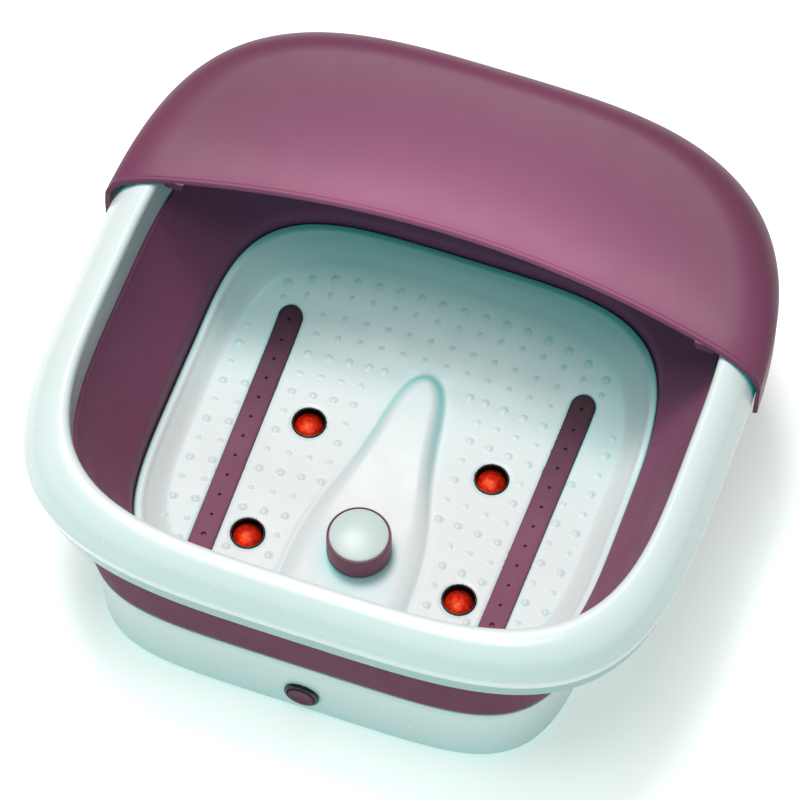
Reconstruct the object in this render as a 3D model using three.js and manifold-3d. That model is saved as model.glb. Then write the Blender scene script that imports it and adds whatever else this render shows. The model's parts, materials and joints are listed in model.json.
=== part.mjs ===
// Foot spa basin: a white housing and rolled rim, a plum basin with a white foot bed,
// a lift-off splash guard and the working parts underneath.
// Millimetres, +Z up, front towards -Y, origin at the bottom centre.
import * as THREE from 'three';
import * as BufferGeometryUtils from 'three/addons/utils/BufferGeometryUtils.js';
import Module from 'manifold-3d';

const wasm = await Module();
wasm.setup();

// ---------------------------------------------------------------- driving dimensions
// Plan outlines: half width, reach to the front and to the back, and how square they are.
const RIM = { half: 190, front: 173.5, back: 186.3, squareFront: 3.8, squareBack: 3.4 };
const BED = { half: 134, front: 128, back: 117.5, squareFront: 4.4, squareBack: 4 };
const BASE = { half: 140, front: 161, back: 158, squareFront: 5.4, squareBack: 5 };
const BASE_KNEE = { half: 142.5, front: 163.5, back: 160, squareFront: 5.4, squareBack: 5 };
const BASE_TOP = { half: 145, front: 163.7, back: 160.7, squareFront: 5.3, squareBack: 4.9 };
const BAND_TOP = { half: 173.5, front: 166, back: 168, squareFront: 4, squareBack: 3.6 };
const GUARD_REACH = 3.2;

const AROUND = 48;              // segments around every outline
const GAP = 0.3;                // clearance between touching pieces
const SKIN = 2.4;               // wall of the moulded shells

const BASE_Z = 1.5;
const BASE_KNEE_Z = 51;          // where the base starts to flare
const BASE_TOP_Z = 57;
const BAND_TOP_Z = 112;
const BAND_RISE_Z = 130.9;      // top of the band, where it meets the rim's underside
const BAND_RISE_INSET = 15;
const BASIN_TOP_Z = 108.1;
const LIP_Z = 96;               // lower edge of the rim
const BASIN_INSET = 26;         // basin mouth inside the rim outline

// The rim's section, as [inset from the outer outline, height], all the way round.
const RIM_SECTION = [
  [4.2, LIP_Z], [2, 109.8], [0, 117.8], [1.8, 124], [6.2, 130.2], [12.8, 134.7],
  [19, 136.3], [22.4, 135.4], [23.4, 133], [24.2, BASIN_TOP_Z + GAP],
  [21.6, BASIN_TOP_Z + GAP], [20.8, 132.4], [13, 131], [5, 122.6], [4.6, 111], [6.4, LIP_Z],
];

const FLOOR_Z = 26;             // top of the foot bed where the feet rest
const BED_EDGE_Z = 34;
const BED_BACK_Z = 54;
const STEP_Z = 49;              // edge of the basin's step around the bed
const STEP_BACK_Z = 63;
const STEP_GAP = 1.4;

// The ridge between the feet, as [place along it, half width of its foot], from the front past its nose.
const RIDGE_FOOT = [
  [-128, 37.6], [-96, 37.4], [-79, 36.9], [-68, 36.2], [-54, 34.1], [-40, 31], [-29, 27.7],
  [-16, 23.9], [-4, 21.1], [8, 18.9], [19, 17.2], [30, 15.2], [38, 13], [44, 10.4],
  [47.6, 7.8], [49.7, 5], [50.8, 2], [51.4, -1.5], [60, -30],
];
const RIDGE = { frontHigh: 2.3, noseExtra: 4.2, riseY: -62, riseRun: 85, shoulder: 9, frontShoulder: 6 };

const STRIP = {
  halfWidth: 7.3, frontX: 85.5, backX: 89, frontY: -104, backY: 68, proud: 1.2, depth: 1.5, stations: 10,
};
const AIR_INLET = { x: 88, y: 44, radius: 3, bottomZ: 16.5 };
const LAMPS = [
  { name: 'front_left', x: -63, y: -79 },
  { name: 'front_right', x: 63, y: -79 },
  { name: 'back_left', x: -55, y: 0 },
  { name: 'back_right', x: 55, y: 0 },
];
const LAMP_RADIUS = 10;
const LAMP_BORE = 8.8;          // inside of the bezel's ring
const LAMP_BEZEL_Z = 19;
const LENS_PROFILE = [[0, 19.5], [8.4, 19.5], [8.4, 21.6], [5.6, 24.2], [0, 25.2]];
const LED_PROFILE = [[0, 13], [3.4, 13], [3.4, 14], [2.5, 14], [2.5, 17], [0, 18.8]];

const PAD = { x: 0, y: -69, radius: 18.4, bottomZ: 28.9, rimZ: 44.6, topZ: 48, lip: 1.8, web: 1.6 };
const POST = { radius: 7, belowBed: 1.4, belowRim: 4, clearance: 0.6 };

const GUARD = { wallZ: 128, frontZ: 140.2, topZ: 169, roll: 28, skirtZ: 108, skin: 2.6 };
const GUARD_FRONT = { y: 79.7, bow: 8.4e-4, lean: 0.16 };
const GUARD_TAB = { x: 156.5, y: 59.5, z: 135.6, width: 12, depth: 4, height: 7 };

const WALL_Y = -(BASE.front + 1);   // outer face of the front wall at the button
const BUTTON = {
  radius: 7.8, z: 22.5, proud: 3, flange: 9.6, flangeThick: 1.8, stem: 2, sleeve: 9, travel: 2.5,
};
// Sleeve through the wall with a flange outside, as [radius, depth behind the wall's face].
const BEZEL_PROFILE = [
  [8.1, -2.3], [9.4, -2.3], [10.4, -1.7], [10.4, -0.9], [BUTTON.sleeve, -0.9],
  [BUTTON.sleeve, 3], [8.1, 3], [8.1, -2.3],
];
const SPRING = { radius: 4, wire: 0.6, from: WALL_Y + SKIN + 3.4, to: WALL_Y + SKIN + 9.4, turns: 3 };
const SWITCH = { size: 12, depth: 7.7 };
const BOARD = { behindSwitch: 8, z: 26, width: 70, height: 34, thick: 1.6 };
const COVER_Z = 2.6;
const COVER_THICK = 2;
const FEET = [[-112, -128], [112, -128], [-106, 116], [106, 116]];
const SCREWS = [[-126, -60], [126, -60], [-126, 70], [126, 70], [-60, -149], [60, -149]];
const SCREW = { headRadius: 3.6, headZ: 0.8, shankRadius: 1.6, bossRadius: 5, bossTopZ: 19 };
const FOOT = { radius: 11, stud: 3, studTopZ: 6.2 };

const MOTOR = { y: 2, z: 13.6, radius: 7.8, length: 28, shaft: 1 };
const BRACKET = { width: 14, cheek: 1.5, ear: 8.5, earThick: 2 };
const WEIGHT = { y: 31, radius: 7.4, hub: 2.6, bore: 1.3, thick: 8 };
const BLOWER = { x: -48, y: 122, radius: 20, wall: 1.8, bottomZ: 6, height: 20, portZ: 12, port: 4 };
const IMPELLER = {
  radius: 16, disc: 1.4, axle: 2, vanes: 8, vaneX: 9.5, vaneLong: 11, vaneThick: 1.2, vaneHigh: 12,
};
const HOSE_RADIUS = 2.6;
const HEATER = { y: -54, z: 18.6, width: 90, depth: 30, thick: 1.8 };
const THERMOSTAT = { radius: 6, bottomZ: 12, topZ: 17.4 };
const POWER_BOARD = { x: 62, y: 128, z: 14, width: 44, depth: 30, thick: 1.6 };
const GLAND = { x: 60, z: 22, radius: 9, sleeve: 6, bore: 3.6, inside: 10, outside: 2, flangeThick: 2.4 };

// ---------------------------------------------------------------- materials
const paint = (color, roughness, metalness = 0) =>
  new THREE.MeshStandardMaterial({ color, roughness, metalness });
const FINISH = {
  white: paint('#e6f0ef', 0.28),
  plum: paint('#7c4862', 0.32),
  liner: paint('#694152', 0.38),
  black: paint('#151413', 0.45),
  lens: paint('#d93a12', 0.12),
  pearl: paint('#c8dcd2', 0.3),
  rubber: paint('#2b2b2b', 0.9),
  steel: paint('#b4b6b8', 0.35, 1),
  board: paint('#2f6b3f', 0.55),
  grey: paint('#8d9192', 0.5),
  hose: paint('#d9dcda', 0.5),
};

// ---------------------------------------------------------------- outlines and relief
const smooth = (t) => {
  const u = Math.min(Math.max(t, 0), 1);
  return u * u * (3 - 2 * u);
};
const signedPower = (v, p) => Math.sign(v) * Math.abs(v) ** p;

function outlinePoint(shape, angle, offset = 0, scale = 1) {
  const back = Math.sin(angle) >= 0;
  const power = 2 / (back ? shape.squareBack : shape.squareFront);
  const reach = (back ? shape.back : shape.front) + offset;
  const x = (shape.half + offset) * signedPower(Math.cos(angle), power);
  const y = reach * signedPower(Math.sin(angle), power);
  return [x * scale, y * scale];
}

// How far a point is from the centre of an outline: 0 in the middle, 1 on the outline.
function outlineReach(shape, x, y, offset = 0) {
  const n = y >= 0 ? shape.squareBack : shape.squareFront;
  const reach = (y >= 0 ? shape.back : shape.front) + offset;
  return (Math.abs(x / (shape.half + offset)) ** n + Math.abs(y / reach) ** n) ** (1 / n);
}

// Angles that cut a stretch of an outline into equal lengths.
function evenAngles(shape, from, to, count) {
  const fine = 4000;
  const angles = [from];
  const lengths = [0];
  let last = outlinePoint(shape, from);
  for (let i = 1; i <= fine; i++) {
    const angle = from + ((to - from) * i) / fine;
    const point = outlinePoint(shape, angle);
    lengths.push(lengths[i - 1] + Math.hypot(point[0] - last[0], point[1] - last[1]));
    angles.push(angle);
    last = point;
  }
  const total = lengths[fine];
  let k = 0;
  return Array.from({ length: count + 1 }, (_, i) => {
    const target = (total * i) / count;
    while (k < fine && lengths[k] < target) k++;
    return angles[k];
  });
}
const ROUND = evenAngles(RIM, 0, 2 * Math.PI, AROUND).slice(0, AROUND);

const backRise = (y) => smooth((y - 20) / 98);
const bedEdgeZ = (y) => BED_EDGE_Z + (BED_BACK_Z - BED_EDGE_Z) * backRise(y);
const stepZ = (y) => STEP_Z + (STEP_BACK_Z - STEP_Z) * backRise(y);

// Half width of the ridge's foot at a place along it.
function ridgeHalf(y) {
  const ahead = Math.max(1, RIDGE_FOOT.findIndex(([place]) => place >= y));
  const [y0, half0] = RIDGE_FOOT[ahead - 1];
  const [y1, half1] = RIDGE_FOOT[ahead];
  return half0 + ((half1 - half0) * (y - y0)) / (y1 - y0);
}

// The divider between the feet: a raised tongue with a high round nose and a low wide front.
function ridgeHeight(x, y) {
  if (y <= RIDGE_FOOT[0][0] || y >= RIDGE_FOOT[RIDGE_FOOT.length - 1][0]) return 0;
  const inside = ridgeHalf(y) - Math.abs(x);
  if (inside <= 0) return 0;
  const high = RIDGE.frontHigh + RIDGE.noseExtra * smooth((y - RIDGE.riseY) / RIDGE.riseRun);
  const run = RIDGE.shoulder + RIDGE.frontShoulder * smooth((-y - 10) / 60);
  return high * (1 - (1 - Math.min(inside / run, 1)) ** 2.1);
}

function bedHeight(x, y) {
  const reach = outlineReach(BED, x, y);
  const slope = Math.min(Math.max((y - 45) / 70, 0), 1.1) ** 1.8;
  const back = (BED_BACK_Z - FLOOR_Z) * slope * 0.92;
  const edge = bedEdgeZ(y) - FLOOR_Z - back;
  return FLOOR_Z + back + edge * smooth((reach - 0.87) / 0.13) + ridgeHeight(x, y);
}

// ---------------------------------------------------------------- mesh building
// A closed body from rings of points: capped at both ends, or joined end to end as a band.
function loft(rings, joined = false) {
  const count = rings[0].length;
  const positions = rings.flat(2);
  const index = [];
  const spans = joined ? rings.length : rings.length - 1;
  for (let r = 0; r < spans; r++) {
    const a = r * count;
    const b = ((r + 1) % rings.length) * count;
    for (let i = 0; i < count; i++) {
      const j = (i + 1) % count;
      addQuad(positions, index, a + i, a + j, b + i, b + j);
    }
  }
  if (!joined) {
    addCap(positions, index, 0, count, true);
    addCap(positions, index, (rings.length - 1) * count, count, false);
  }
  return closedGeometry(positions, index);
}

// Two triangles that share the quad's shorter diagonal.
function addQuad(positions, index, a, aNext, b, bNext) {
  const at = (k) => new THREE.Vector3().fromArray(positions, k * 3);
  if (at(a).distanceTo(at(bNext)) < at(aNext).distanceTo(at(b))) {
    index.push(a, aNext, bNext, a, bNext, b);
  } else {
    index.push(a, aNext, b, aNext, bNext, b);
  }
}

function addCap(positions, index, start, count, reversed) {
  const centre = [0, 0, 0];
  for (let i = 0; i < count; i++) {
    for (let axis = 0; axis < 3; axis++) centre[axis] += positions[(start + i) * 3 + axis] / count;
  }
  const apex = positions.length / 3;
  positions.push(...centre);
  for (let i = 0; i < count; i++) {
    const j = start + ((i + 1) % count);
    if (reversed) index.push(apex, j, start + i);
    else index.push(apex, start + i, j);
  }
}

function signedVolume(positions, index) {
  const corner = (k) => new THREE.Vector3().fromArray(positions, index[k] * 3);
  let volume = 0;
  for (let i = 0; i < index.length; i += 3) {
    volume += corner(i).dot(corner(i + 1).cross(corner(i + 2))) / 6;
  }
  return volume;
}

function closedGeometry(positions, index) {
  if (signedVolume(positions, index) < 0) {
    for (let i = 0; i < index.length; i += 3) {
      [index[i], index[i + 1]] = [index[i + 1], index[i]];
    }
  }
  const geometry = new THREE.BufferGeometry();
  geometry.setAttribute('position', new THREE.Float32BufferAttribute(positions, 3));
  geometry.setIndex(index);
  return geometry;
}

function toSolid(geometry) {
  const bare = geometry.clone();
  bare.deleteAttribute('normal');
  bare.deleteAttribute('uv');
  const merged = BufferGeometryUtils.mergeVertices(bare, 1e-4);
  return new wasm.Manifold(new wasm.Mesh({
    numProp: 3,
    vertProperties: new Float32Array(merged.attributes.position.array),
    triVerts: new Uint32Array(merged.index.array),
  }));
}

function toGeometry(solid) {
  const mesh = solid.getMesh();
  const geometry = new THREE.BufferGeometry();
  geometry.setAttribute('position', new THREE.BufferAttribute(mesh.vertProperties, 3));
  geometry.setIndex(new THREE.BufferAttribute(mesh.triVerts, 1));
  return geometry;
}

const subtract = (geometry, cutters) =>
  toGeometry(cutters.reduce((solid, cutter) => solid.subtract(toSolid(cutter)), toSolid(geometry)));
const unite = (geometry, extras) =>
  toGeometry(extras.reduce((solid, extra) => solid.add(toSolid(extra)), toSolid(geometry)));

// Upright cylinder between two heights.
function post(x, y, radius, bottom, top, sides = 16) {
  const geometry = new THREE.CylinderGeometry(radius, radius, top - bottom, sides);
  return geometry.rotateX(Math.PI / 2).translate(x, y, (bottom + top) / 2);
}

// Cylinder along Y between two places.
function bar(x, z, radius, from, to, sides = 16) {
  return new THREE.CylinderGeometry(radius, radius, to - from, sides).translate(x, (from + to) / 2, z);
}

function block(x, y, z, width, depth, height) {
  return new THREE.BoxGeometry(width, depth, height).translate(x, y, z);
}

// Turned piece about an upright axis, from a closed profile of [radius, z].
function turned(x, y, profile, sides = 16) {
  const points = profile.map(([radius, z]) => new THREE.Vector2(radius, z));
  return new THREE.LatheGeometry(points, sides).rotateX(Math.PI / 2).translate(x, y, 0);
}

// Level ring of an outline.
const levelRing = (shape, offset, z) =>
  ROUND.map((angle) => [...outlinePoint(shape, angle, offset), z]);

// ---------------------------------------------------------------- housing
function baseShell() {
  const wall = loft([
    levelRing(BASE, -1.5, BASE_Z),
    levelRing(BASE, 0, BASE_Z + 3),
    levelRing(BASE_KNEE, 0, BASE_KNEE_Z),
    levelRing(BASE_TOP, 0, BASE_TOP_Z),
    levelRing(BASE_TOP, -SKIN, BASE_TOP_Z),
    levelRing(BASE_KNEE, -SKIN, BASE_KNEE_Z),
    levelRing(BASE, -SKIN, BASE_Z + 3),
    levelRing(BASE, -SKIN, BASE_Z),
  ], true);
  const bottom = COVER_Z + COVER_THICK + GAP;
  const bosses = SCREWS.map(([x, y]) => post(x, y, SCREW.bossRadius, bottom, SCREW.bossTopZ, 12));
  const webs = SCREWS.map(([x, y]) => bossWeb(x, y, bottom));
  const bores = SCREWS.map(([x, y]) => post(x, y, SCREW.shankRadius + GAP, 0, SCREW.bossTopZ - 3, 10));
  const buttonHole = bar(0, BUTTON.z, BUTTON.sleeve + GAP, -BASE_TOP.front - 5, -BASE.front + 10, 20);
  const glandHole = bar(GLAND.x, GLAND.z, GLAND.sleeve + GAP, BASE.back - 20, BASE_TOP.back + 5, 16);
  return subtract(unite(wall, [...bosses, ...webs]), [...bores, buttonHole, glandHole]);
}

// Rib that ties a screw boss to the nearest wall.
function bossWeb(x, y, bottom) {
  const high = SCREW.bossTopZ - 2 - bottom;
  const sideways = Math.abs(x) > 100;
  const wallX = BASE.half - 1;
  const wallY = BASE.front - 1;
  const z = bottom + high / 2;
  if (sideways) return block((x + Math.sign(x) * wallX) / 2, y, z, wallX - Math.abs(x), 2, high);
  return block(x, (y - wallY) / 2, z, 2, wallY - Math.abs(y), high);
}

function midBand() {
  return loft([
    levelRing(BASE_TOP, 0, BASE_TOP_Z + GAP),
    levelRing(BAND_TOP, 0, BAND_TOP_Z),
    levelRing(RIM, -BAND_RISE_INSET, BAND_RISE_Z),
    levelRing(RIM, -BAND_RISE_INSET - SKIN, BAND_RISE_Z),
    levelRing(BAND_TOP, -SKIN, BAND_TOP_Z),
    levelRing(BASE_TOP, -SKIN, BASE_TOP_Z + GAP),
  ], true);
}

function rimRing() {
  return loft(RIM_SECTION.map(([inset, z]) => levelRing(RIM, -inset, z)), true);
}

// ---------------------------------------------------------------- basin and foot bed
const BED_RINGS = [0.12, 0.26, 0.42, 0.58, 0.74, 0.87, 0.94, 1];

// Ring of the foot bed's surface, lowered by a thickness.
const bedRing = (scale, drop, offset = 0) => ROUND.map((angle) => {
  const [x, y] = outlinePoint(BED, angle, 0, scale);
  const [px, py] = outlinePoint(BED, angle, offset, scale);
  return [px, py, bedHeight(x, y) - drop];
});

const stepRing = (offset, drop) => ROUND.map((angle) => {
  const [x, y] = outlinePoint(BED, angle, offset);
  return [x, y, stepZ(outlinePoint(BED, angle)[1]) - drop];
});

function footBed() {
  const top = BED_RINGS.map((scale) => bedRing(scale, 0));
  const under = BED_RINGS.map((scale) => bedRing(scale, SKIN)).reverse();
  const tray = loft([...top, ...under]);
  const lampHoles = LAMPS.map(({ x, y }) => post(x, y, LAMP_RADIUS + GAP, 10, 40, 20));
  const slots = [-1, 1].map((side) => stripBar(side, GAP, () => 10, () => 60));
  const postLow = bedHeight(PAD.x, PAD.y) - POST.belowBed;
  const bedPost = post(PAD.x, PAD.y, POST.radius, postLow, PAD.rimZ - POST.belowRim, 14);
  return subtract(unite(tray, [bedPost]), [...lampHoles, ...slots]);
}

function innerBasin() {
  const drop = SKIN + GAP;
  const inside = BED_RINGS.map((scale) => bedRing(scale, drop));
  const outside = BED_RINGS.map((scale) => bedRing(scale, drop + SKIN)).reverse();
  const bowl = loft([
    ...inside,
    bedRing(1, drop, STEP_GAP - 0.6),
    stepRing(STEP_GAP, 0),
    levelRing(RIM, -BASIN_INSET, BASIN_TOP_Z),
    levelRing(RIM, -BASIN_INSET + SKIN, BASIN_TOP_Z),
    stepRing(STEP_GAP + SKIN, 1.2),
    bedRing(1, drop + SKIN, STEP_GAP + SKIN - 0.6),
    ...outside,
  ]);
  const lampHoles = LAMPS.map(({ x, y }) => post(x, y, LAMP_RADIUS + GAP, 10, 40, 20));
  const inlet = AIR_INLET.radius + GAP;
  const airHoles = [-1, 1].map((side) => post(side * AIR_INLET.x, AIR_INLET.y, inlet, 10, 40, 12));
  return subtract(bowl, [...lampHoles, ...airHoles]);
}

// ---------------------------------------------------------------- bubble strips
// Round-ended bar that splays outwards to the back, between two heights given for every place.
function stripBar(side, grow, bottomZ, topZ) {
  const half = STRIP.halfWidth + grow;
  const front = STRIP.frontY - grow;
  const length = STRIP.backY - STRIP.frontY + 2 * grow;
  const rounding = [0.12, 0.3, 0.6, 1].map((t) => half * t);
  const pitch = (length - 2 * half) / STRIP.stations;
  const middle = Array.from({ length: STRIP.stations }, (_, i) => half + pitch * i);
  const along = [...rounding.slice(0, 3), ...middle, ...rounding.reverse().map((t) => length - t)];
  return loft(along.map((run) => {
    const inset = Math.max(half - run, half - (length - run), 0);
    const wide = Math.sqrt(half * half - inset * inset);
    const y = front + run;
    const x = side * (STRIP.frontX + ((STRIP.backX - STRIP.frontX) * run) / length);
    const corners = [[x - wide, y], [x + wide, y]];
    const low = corners.map(([px, py]) => [px, py, bottomZ(px, py)]);
    const high = corners.map(([px, py]) => [px, py, topZ(px, py)]).reverse();
    return [...low, ...high];
  }));
}

function bubbleStrip(side) {
  const low = (x, y) => bedHeight(x, y) - STRIP.depth;
  const high = (x, y) => bedHeight(x, y) + STRIP.proud;
  const body = stripBar(side, 0, low, high);
  const nippleTop = FLOOR_Z - STRIP.depth + 0.5;
  const nipple = post(side * AIR_INLET.x, AIR_INLET.y, AIR_INLET.radius, AIR_INLET.bottomZ, nippleTop, 12);
  return unite(body, [nipple]);
}

// ---------------------------------------------------------------- lamps
function lampBezel({ x, y }) {
  return turned(x, y, [
    [LAMP_BORE, LAMP_BEZEL_Z], [LAMP_RADIUS, LAMP_BEZEL_Z], [LAMP_RADIUS, FLOOR_Z + 0.4],
    [LAMP_BORE, FLOOR_Z], [LAMP_BORE, LAMP_BEZEL_Z],
  ], 16);
}

const lampLens = ({ x, y }) => turned(x, y, LENS_PROFILE, 16);
const lampLed = ({ x, y }) => turned(x, y, LED_PROFILE, 8);

// ---------------------------------------------------------------- massage attachment
function attachmentCollar() {
  const cavity = POST.radius + POST.clearance;
  const webTop = PAD.rimZ - PAD.web;
  const webLow = webTop - PAD.lip;
  return turned(PAD.x, PAD.y, [
    [cavity, PAD.bottomZ], [PAD.radius - 1, PAD.bottomZ], [PAD.radius, PAD.bottomZ + 1],
    [PAD.radius, PAD.rimZ], [PAD.radius - PAD.lip, PAD.rimZ + 0.8], [PAD.radius - PAD.lip, webTop],
    [0, webTop], [0, webLow], [cavity, webLow], [cavity, PAD.bottomZ],
  ], 24);
}

function attachmentPad() {
  const reach = PAD.radius - PAD.lip - GAP;
  const low = PAD.rimZ - PAD.web + GAP;
  return turned(PAD.x, PAD.y, [
    [0, low], [reach, low], [reach, PAD.rimZ], [reach * 0.82, PAD.rimZ + 1.9],
    [reach * 0.45, PAD.rimZ + 3], [0, PAD.topZ],
  ], 24);
}

// ---------------------------------------------------------------- splash guard
const guardFrontY = (x, z) => GUARD_FRONT.y - GUARD_FRONT.bow * x * x
  - GUARD_FRONT.lean * Math.max(GUARD.frontZ - z, 0);

// Height of the guard's outer face at a place inside its outline.
function guardHeight(x, y, inset) {
  const back = smooth((y - guardFrontY(x, GUARD.frontZ)) / 95);
  const side = 1 - 0.35 * Math.abs(x / RIM.half) ** 3;
  const roof = GUARD.frontZ + (GUARD.topZ - GUARD.frontZ) * back * side;
  const roll = Math.min(inset / GUARD.roll, 1);
  return GUARD.wallZ + (roof - GUARD.wallZ) * Math.sqrt(1 - (1 - roll) ** 2);
}

const GUARD_WALL = [0, 0.5, 1];
const GUARD_ROOF = [0.04, 0.1, 0.2, 0.34, 0.55, 0.78, 1];

// One face of the guard as a grid: from the skirt's edge up, over the roll and in to the front edge.
function guardFace(angles, thickness) {
  const offset = GUARD_REACH - thickness;
  return angles.map((angle) => {
    const [x, y] = outlinePoint(RIM, angle, offset);
    const wall = GUARD_WALL.map((t) => {
      const z = GUARD.skirtZ + t * (GUARD.wallZ - GUARD.skirtZ);
      return [x, Math.max(y, guardFrontY(x, z)), z];
    });
    const frontX = x * 0.985;
    const frontY = guardFrontY(frontX, GUARD.frontZ);
    const startY = Math.max(y, guardFrontY(x, GUARD.wallZ));
    const roof = GUARD_ROOF.map((t) => {
      const px = x + (frontX - x) * t;
      const py = startY + (frontY - startY) * t;
      const inset = (1 - outlineReach(RIM, px, Math.max(py, 0), offset)) * (RIM.half + offset);
      return [px, py, guardHeight(px, py, Math.max(inset, 0)) - thickness];
    });
    return [...wall, ...roof];
  });
}

function splashGuard() {
  const reachY = guardFrontY(RIM.half, GUARD.skirtZ) + 1;
  const power = RIM.squareBack / 2;
  const tip = Math.asin((reachY / (RIM.back + GUARD_REACH)) ** power);
  const angles = evenAngles(RIM, tip, Math.PI - tip, 32);
  const outer = guardFace(angles, 0);
  const inner = guardFace(angles, GUARD.skin);
  const rings = outer.map((column, i) => [...column, ...inner[i].slice().reverse()]);
  const shell = loft(rings);
  const { x, y, z, width, depth, height } = GUARD_TAB;
  const tabs = [-1, 1].map((side) => block(side * x, y, z, width, depth, height));
  return unite(shell, tabs);
}

// ---------------------------------------------------------------- function button
function functionButton() {
  const innerWall = WALL_Y + SKIN;
  const back = innerWall + 3;
  const cap = bar(0, BUTTON.z, BUTTON.radius, WALL_Y - BUTTON.proud, back, 20);
  const flange = bar(0, BUTTON.z, BUTTON.flange, back - BUTTON.flangeThick, back, 20);
  const stem = bar(0, BUTTON.z, BUTTON.stem, innerWall + 2, SPRING.to - BUTTON.travel, 8);
  return unite(cap, [flange, stem]);
}

function buttonBezel() {
  const points = BEZEL_PROFILE.map(([radius, depth]) => new THREE.Vector2(radius, depth));
  return new THREE.LatheGeometry(points, 24).translate(0, WALL_Y, BUTTON.z);
}

class Helix extends THREE.Curve {
  getPoint(t, target = new THREE.Vector3()) {
    const angle = 2 * Math.PI * SPRING.turns * t;
    const y = SPRING.from + SPRING.wire + (SPRING.to - SPRING.from - 2 * SPRING.wire) * t;
    return target.set(SPRING.radius * Math.cos(angle), y, BUTTON.z + SPRING.radius * Math.sin(angle));
  }
}

// Round bar along a curve.
function tube(curve, radius, steps, sides) {
  const section = new THREE.Shape();
  section.absarc(0, 0, radius, 0, 2 * Math.PI, false);
  return new THREE.ExtrudeGeometry(section, {
    steps, extrudePath: curve, bevelEnabled: false, curveSegments: sides,
  });
}

function buttonSwitch() {
  const { size, depth } = SWITCH;
  return block(0, SPRING.to + GAP + depth / 2, BUTTON.z, size, depth, size);
}

function controlBoard() {
  const { behindSwitch, z, width, height, thick } = BOARD;
  return block(0, SPRING.to + GAP + behindSwitch + thick / 2, z, width, thick, height);
}

// ---------------------------------------------------------------- underside and working parts
function bottomCover() {
  const top = COVER_Z + COVER_THICK;
  const plate = loft([levelRing(BASE, -SKIN - 0.6, COVER_Z), levelRing(BASE, -SKIN - 0.6, top)]);
  const holes = SCREWS.map(([x, y]) => post(x, y, SCREW.shankRadius + GAP, 0, 10, 10));
  const studs = FEET.map(([x, y]) => post(x, y, FOOT.stud + GAP, 0, 10, 10));
  return subtract(plate, [...holes, ...studs]);
}

function coverScrew(x, y) {
  const { headRadius, headZ, shankRadius, bossTopZ } = SCREW;
  return turned(x, y, [
    [0, headZ], [headRadius, headZ], [headRadius, COVER_Z - GAP], [shankRadius, COVER_Z - GAP],
    [shankRadius, bossTopZ - 5], [0, bossTopZ - 4],
  ], 10);
}

function rubberFoot(x, y) {
  const { radius, stud, studTopZ } = FOOT;
  return turned(x, y, [
    [0, 0], [radius - 1, 0], [radius, 0.8], [radius, COVER_Z - GAP], [stud, COVER_Z - GAP],
    [stud, studTopZ], [0, studTopZ],
  ], 16);
}

function airHose(side) {
  const start = new THREE.Vector3(BLOWER.x + side * (BLOWER.radius + 3.3), BLOWER.y - 4, 12);
  const end = new THREE.Vector3(side * AIR_INLET.x, AIR_INLET.y, 16.2);
  const bend = side < 0
    ? [[-84, 112, 11], [-90, 84, 9.5], [-89, 54, 9], [-88, 44, 11.5]]
    : [[0, 104, 10], [56, 96, 9.5], [84, 78, 9], [89, 54, 9], [88, 44, 11.5]];
  const points = [start, ...bend.map((p) => new THREE.Vector3(...p)), end];
  return tube(new THREE.CatmullRomCurve3(points), HOSE_RADIUS, 20, 4);
}

function blowerHousing() {
  const { x, y, radius, wall, bottomZ, height, portZ } = BLOWER;
  const cup = turned(x, y, [
    [0, bottomZ], [radius, bottomZ], [radius, bottomZ + height], [radius - wall, bottomZ + height],
    [radius - wall, bottomZ + wall], [0, bottomZ + wall],
  ], 24);
  const port = (side) => block(x + side * radius, y - BLOWER.port, portZ, 12, BLOWER.port, BLOWER.port);
  return subtract(cup, [port(-1), port(1)]);
}

function blowerCover() {
  const { x, y, radius, wall, bottomZ, height } = BLOWER;
  const low = bottomZ + height + GAP;
  const bore = IMPELLER.axle + 0.4;
  return turned(x, y, [[bore, low], [radius, low], [radius, low + wall], [bore, low + wall], [bore, low]], 24);
}

function blowerImpeller() {
  const { x, y, bottomZ, height } = BLOWER;
  const { radius, disc, axle, vanes, vaneX, vaneLong, vaneThick, vaneHigh } = IMPELLER;
  const low = bottomZ + 3;
  const top = bottomZ + height + 3.4;
  const hub = turned(x, y, [
    [0, low], [radius, low], [radius, low + disc], [axle, low + disc], [axle, top], [0, top],
  ], 16);
  const vaneZ = low + 1 + vaneHigh / 2;
  const blades = Array.from({ length: vanes }, (_, i) => {
    const vane = block(vaneX, 0, vaneZ, vaneLong, vaneThick, vaneHigh);
    return vane.rotateZ((i * 2 * Math.PI) / vanes).translate(x, y, 0);
  });
  return unite(hub, blades);
}

function blowerMotor() {
  const { x, y, bottomZ, height } = BLOWER;
  const low = bottomZ + height + 2 + 2 * GAP;
  const high = low + 13;
  const bore = IMPELLER.axle + GAP;
  return turned(x, y, [
    [bore, low], [9, low], [9, high], [0, high], [0, low + 2], [bore, low + 2], [bore, low],
  ], 16);
}

function vibrationMotor() {
  const { y, z, radius, length, shaft } = MOTOR;
  const end = y + length / 2;
  const can = bar(0, z, radius, y - length / 2, end, 16);
  return subtract(can, [bar(0, z, shaft + 0.1, end - 8, end + 1, 8)]);
}

function motorShaft() {
  const front = MOTOR.y + MOTOR.length / 2 - 7;
  return bar(0, MOTOR.z, MOTOR.shaft, front, WEIGHT.y + WEIGHT.thick / 2 + 3, 8);
}

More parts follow.
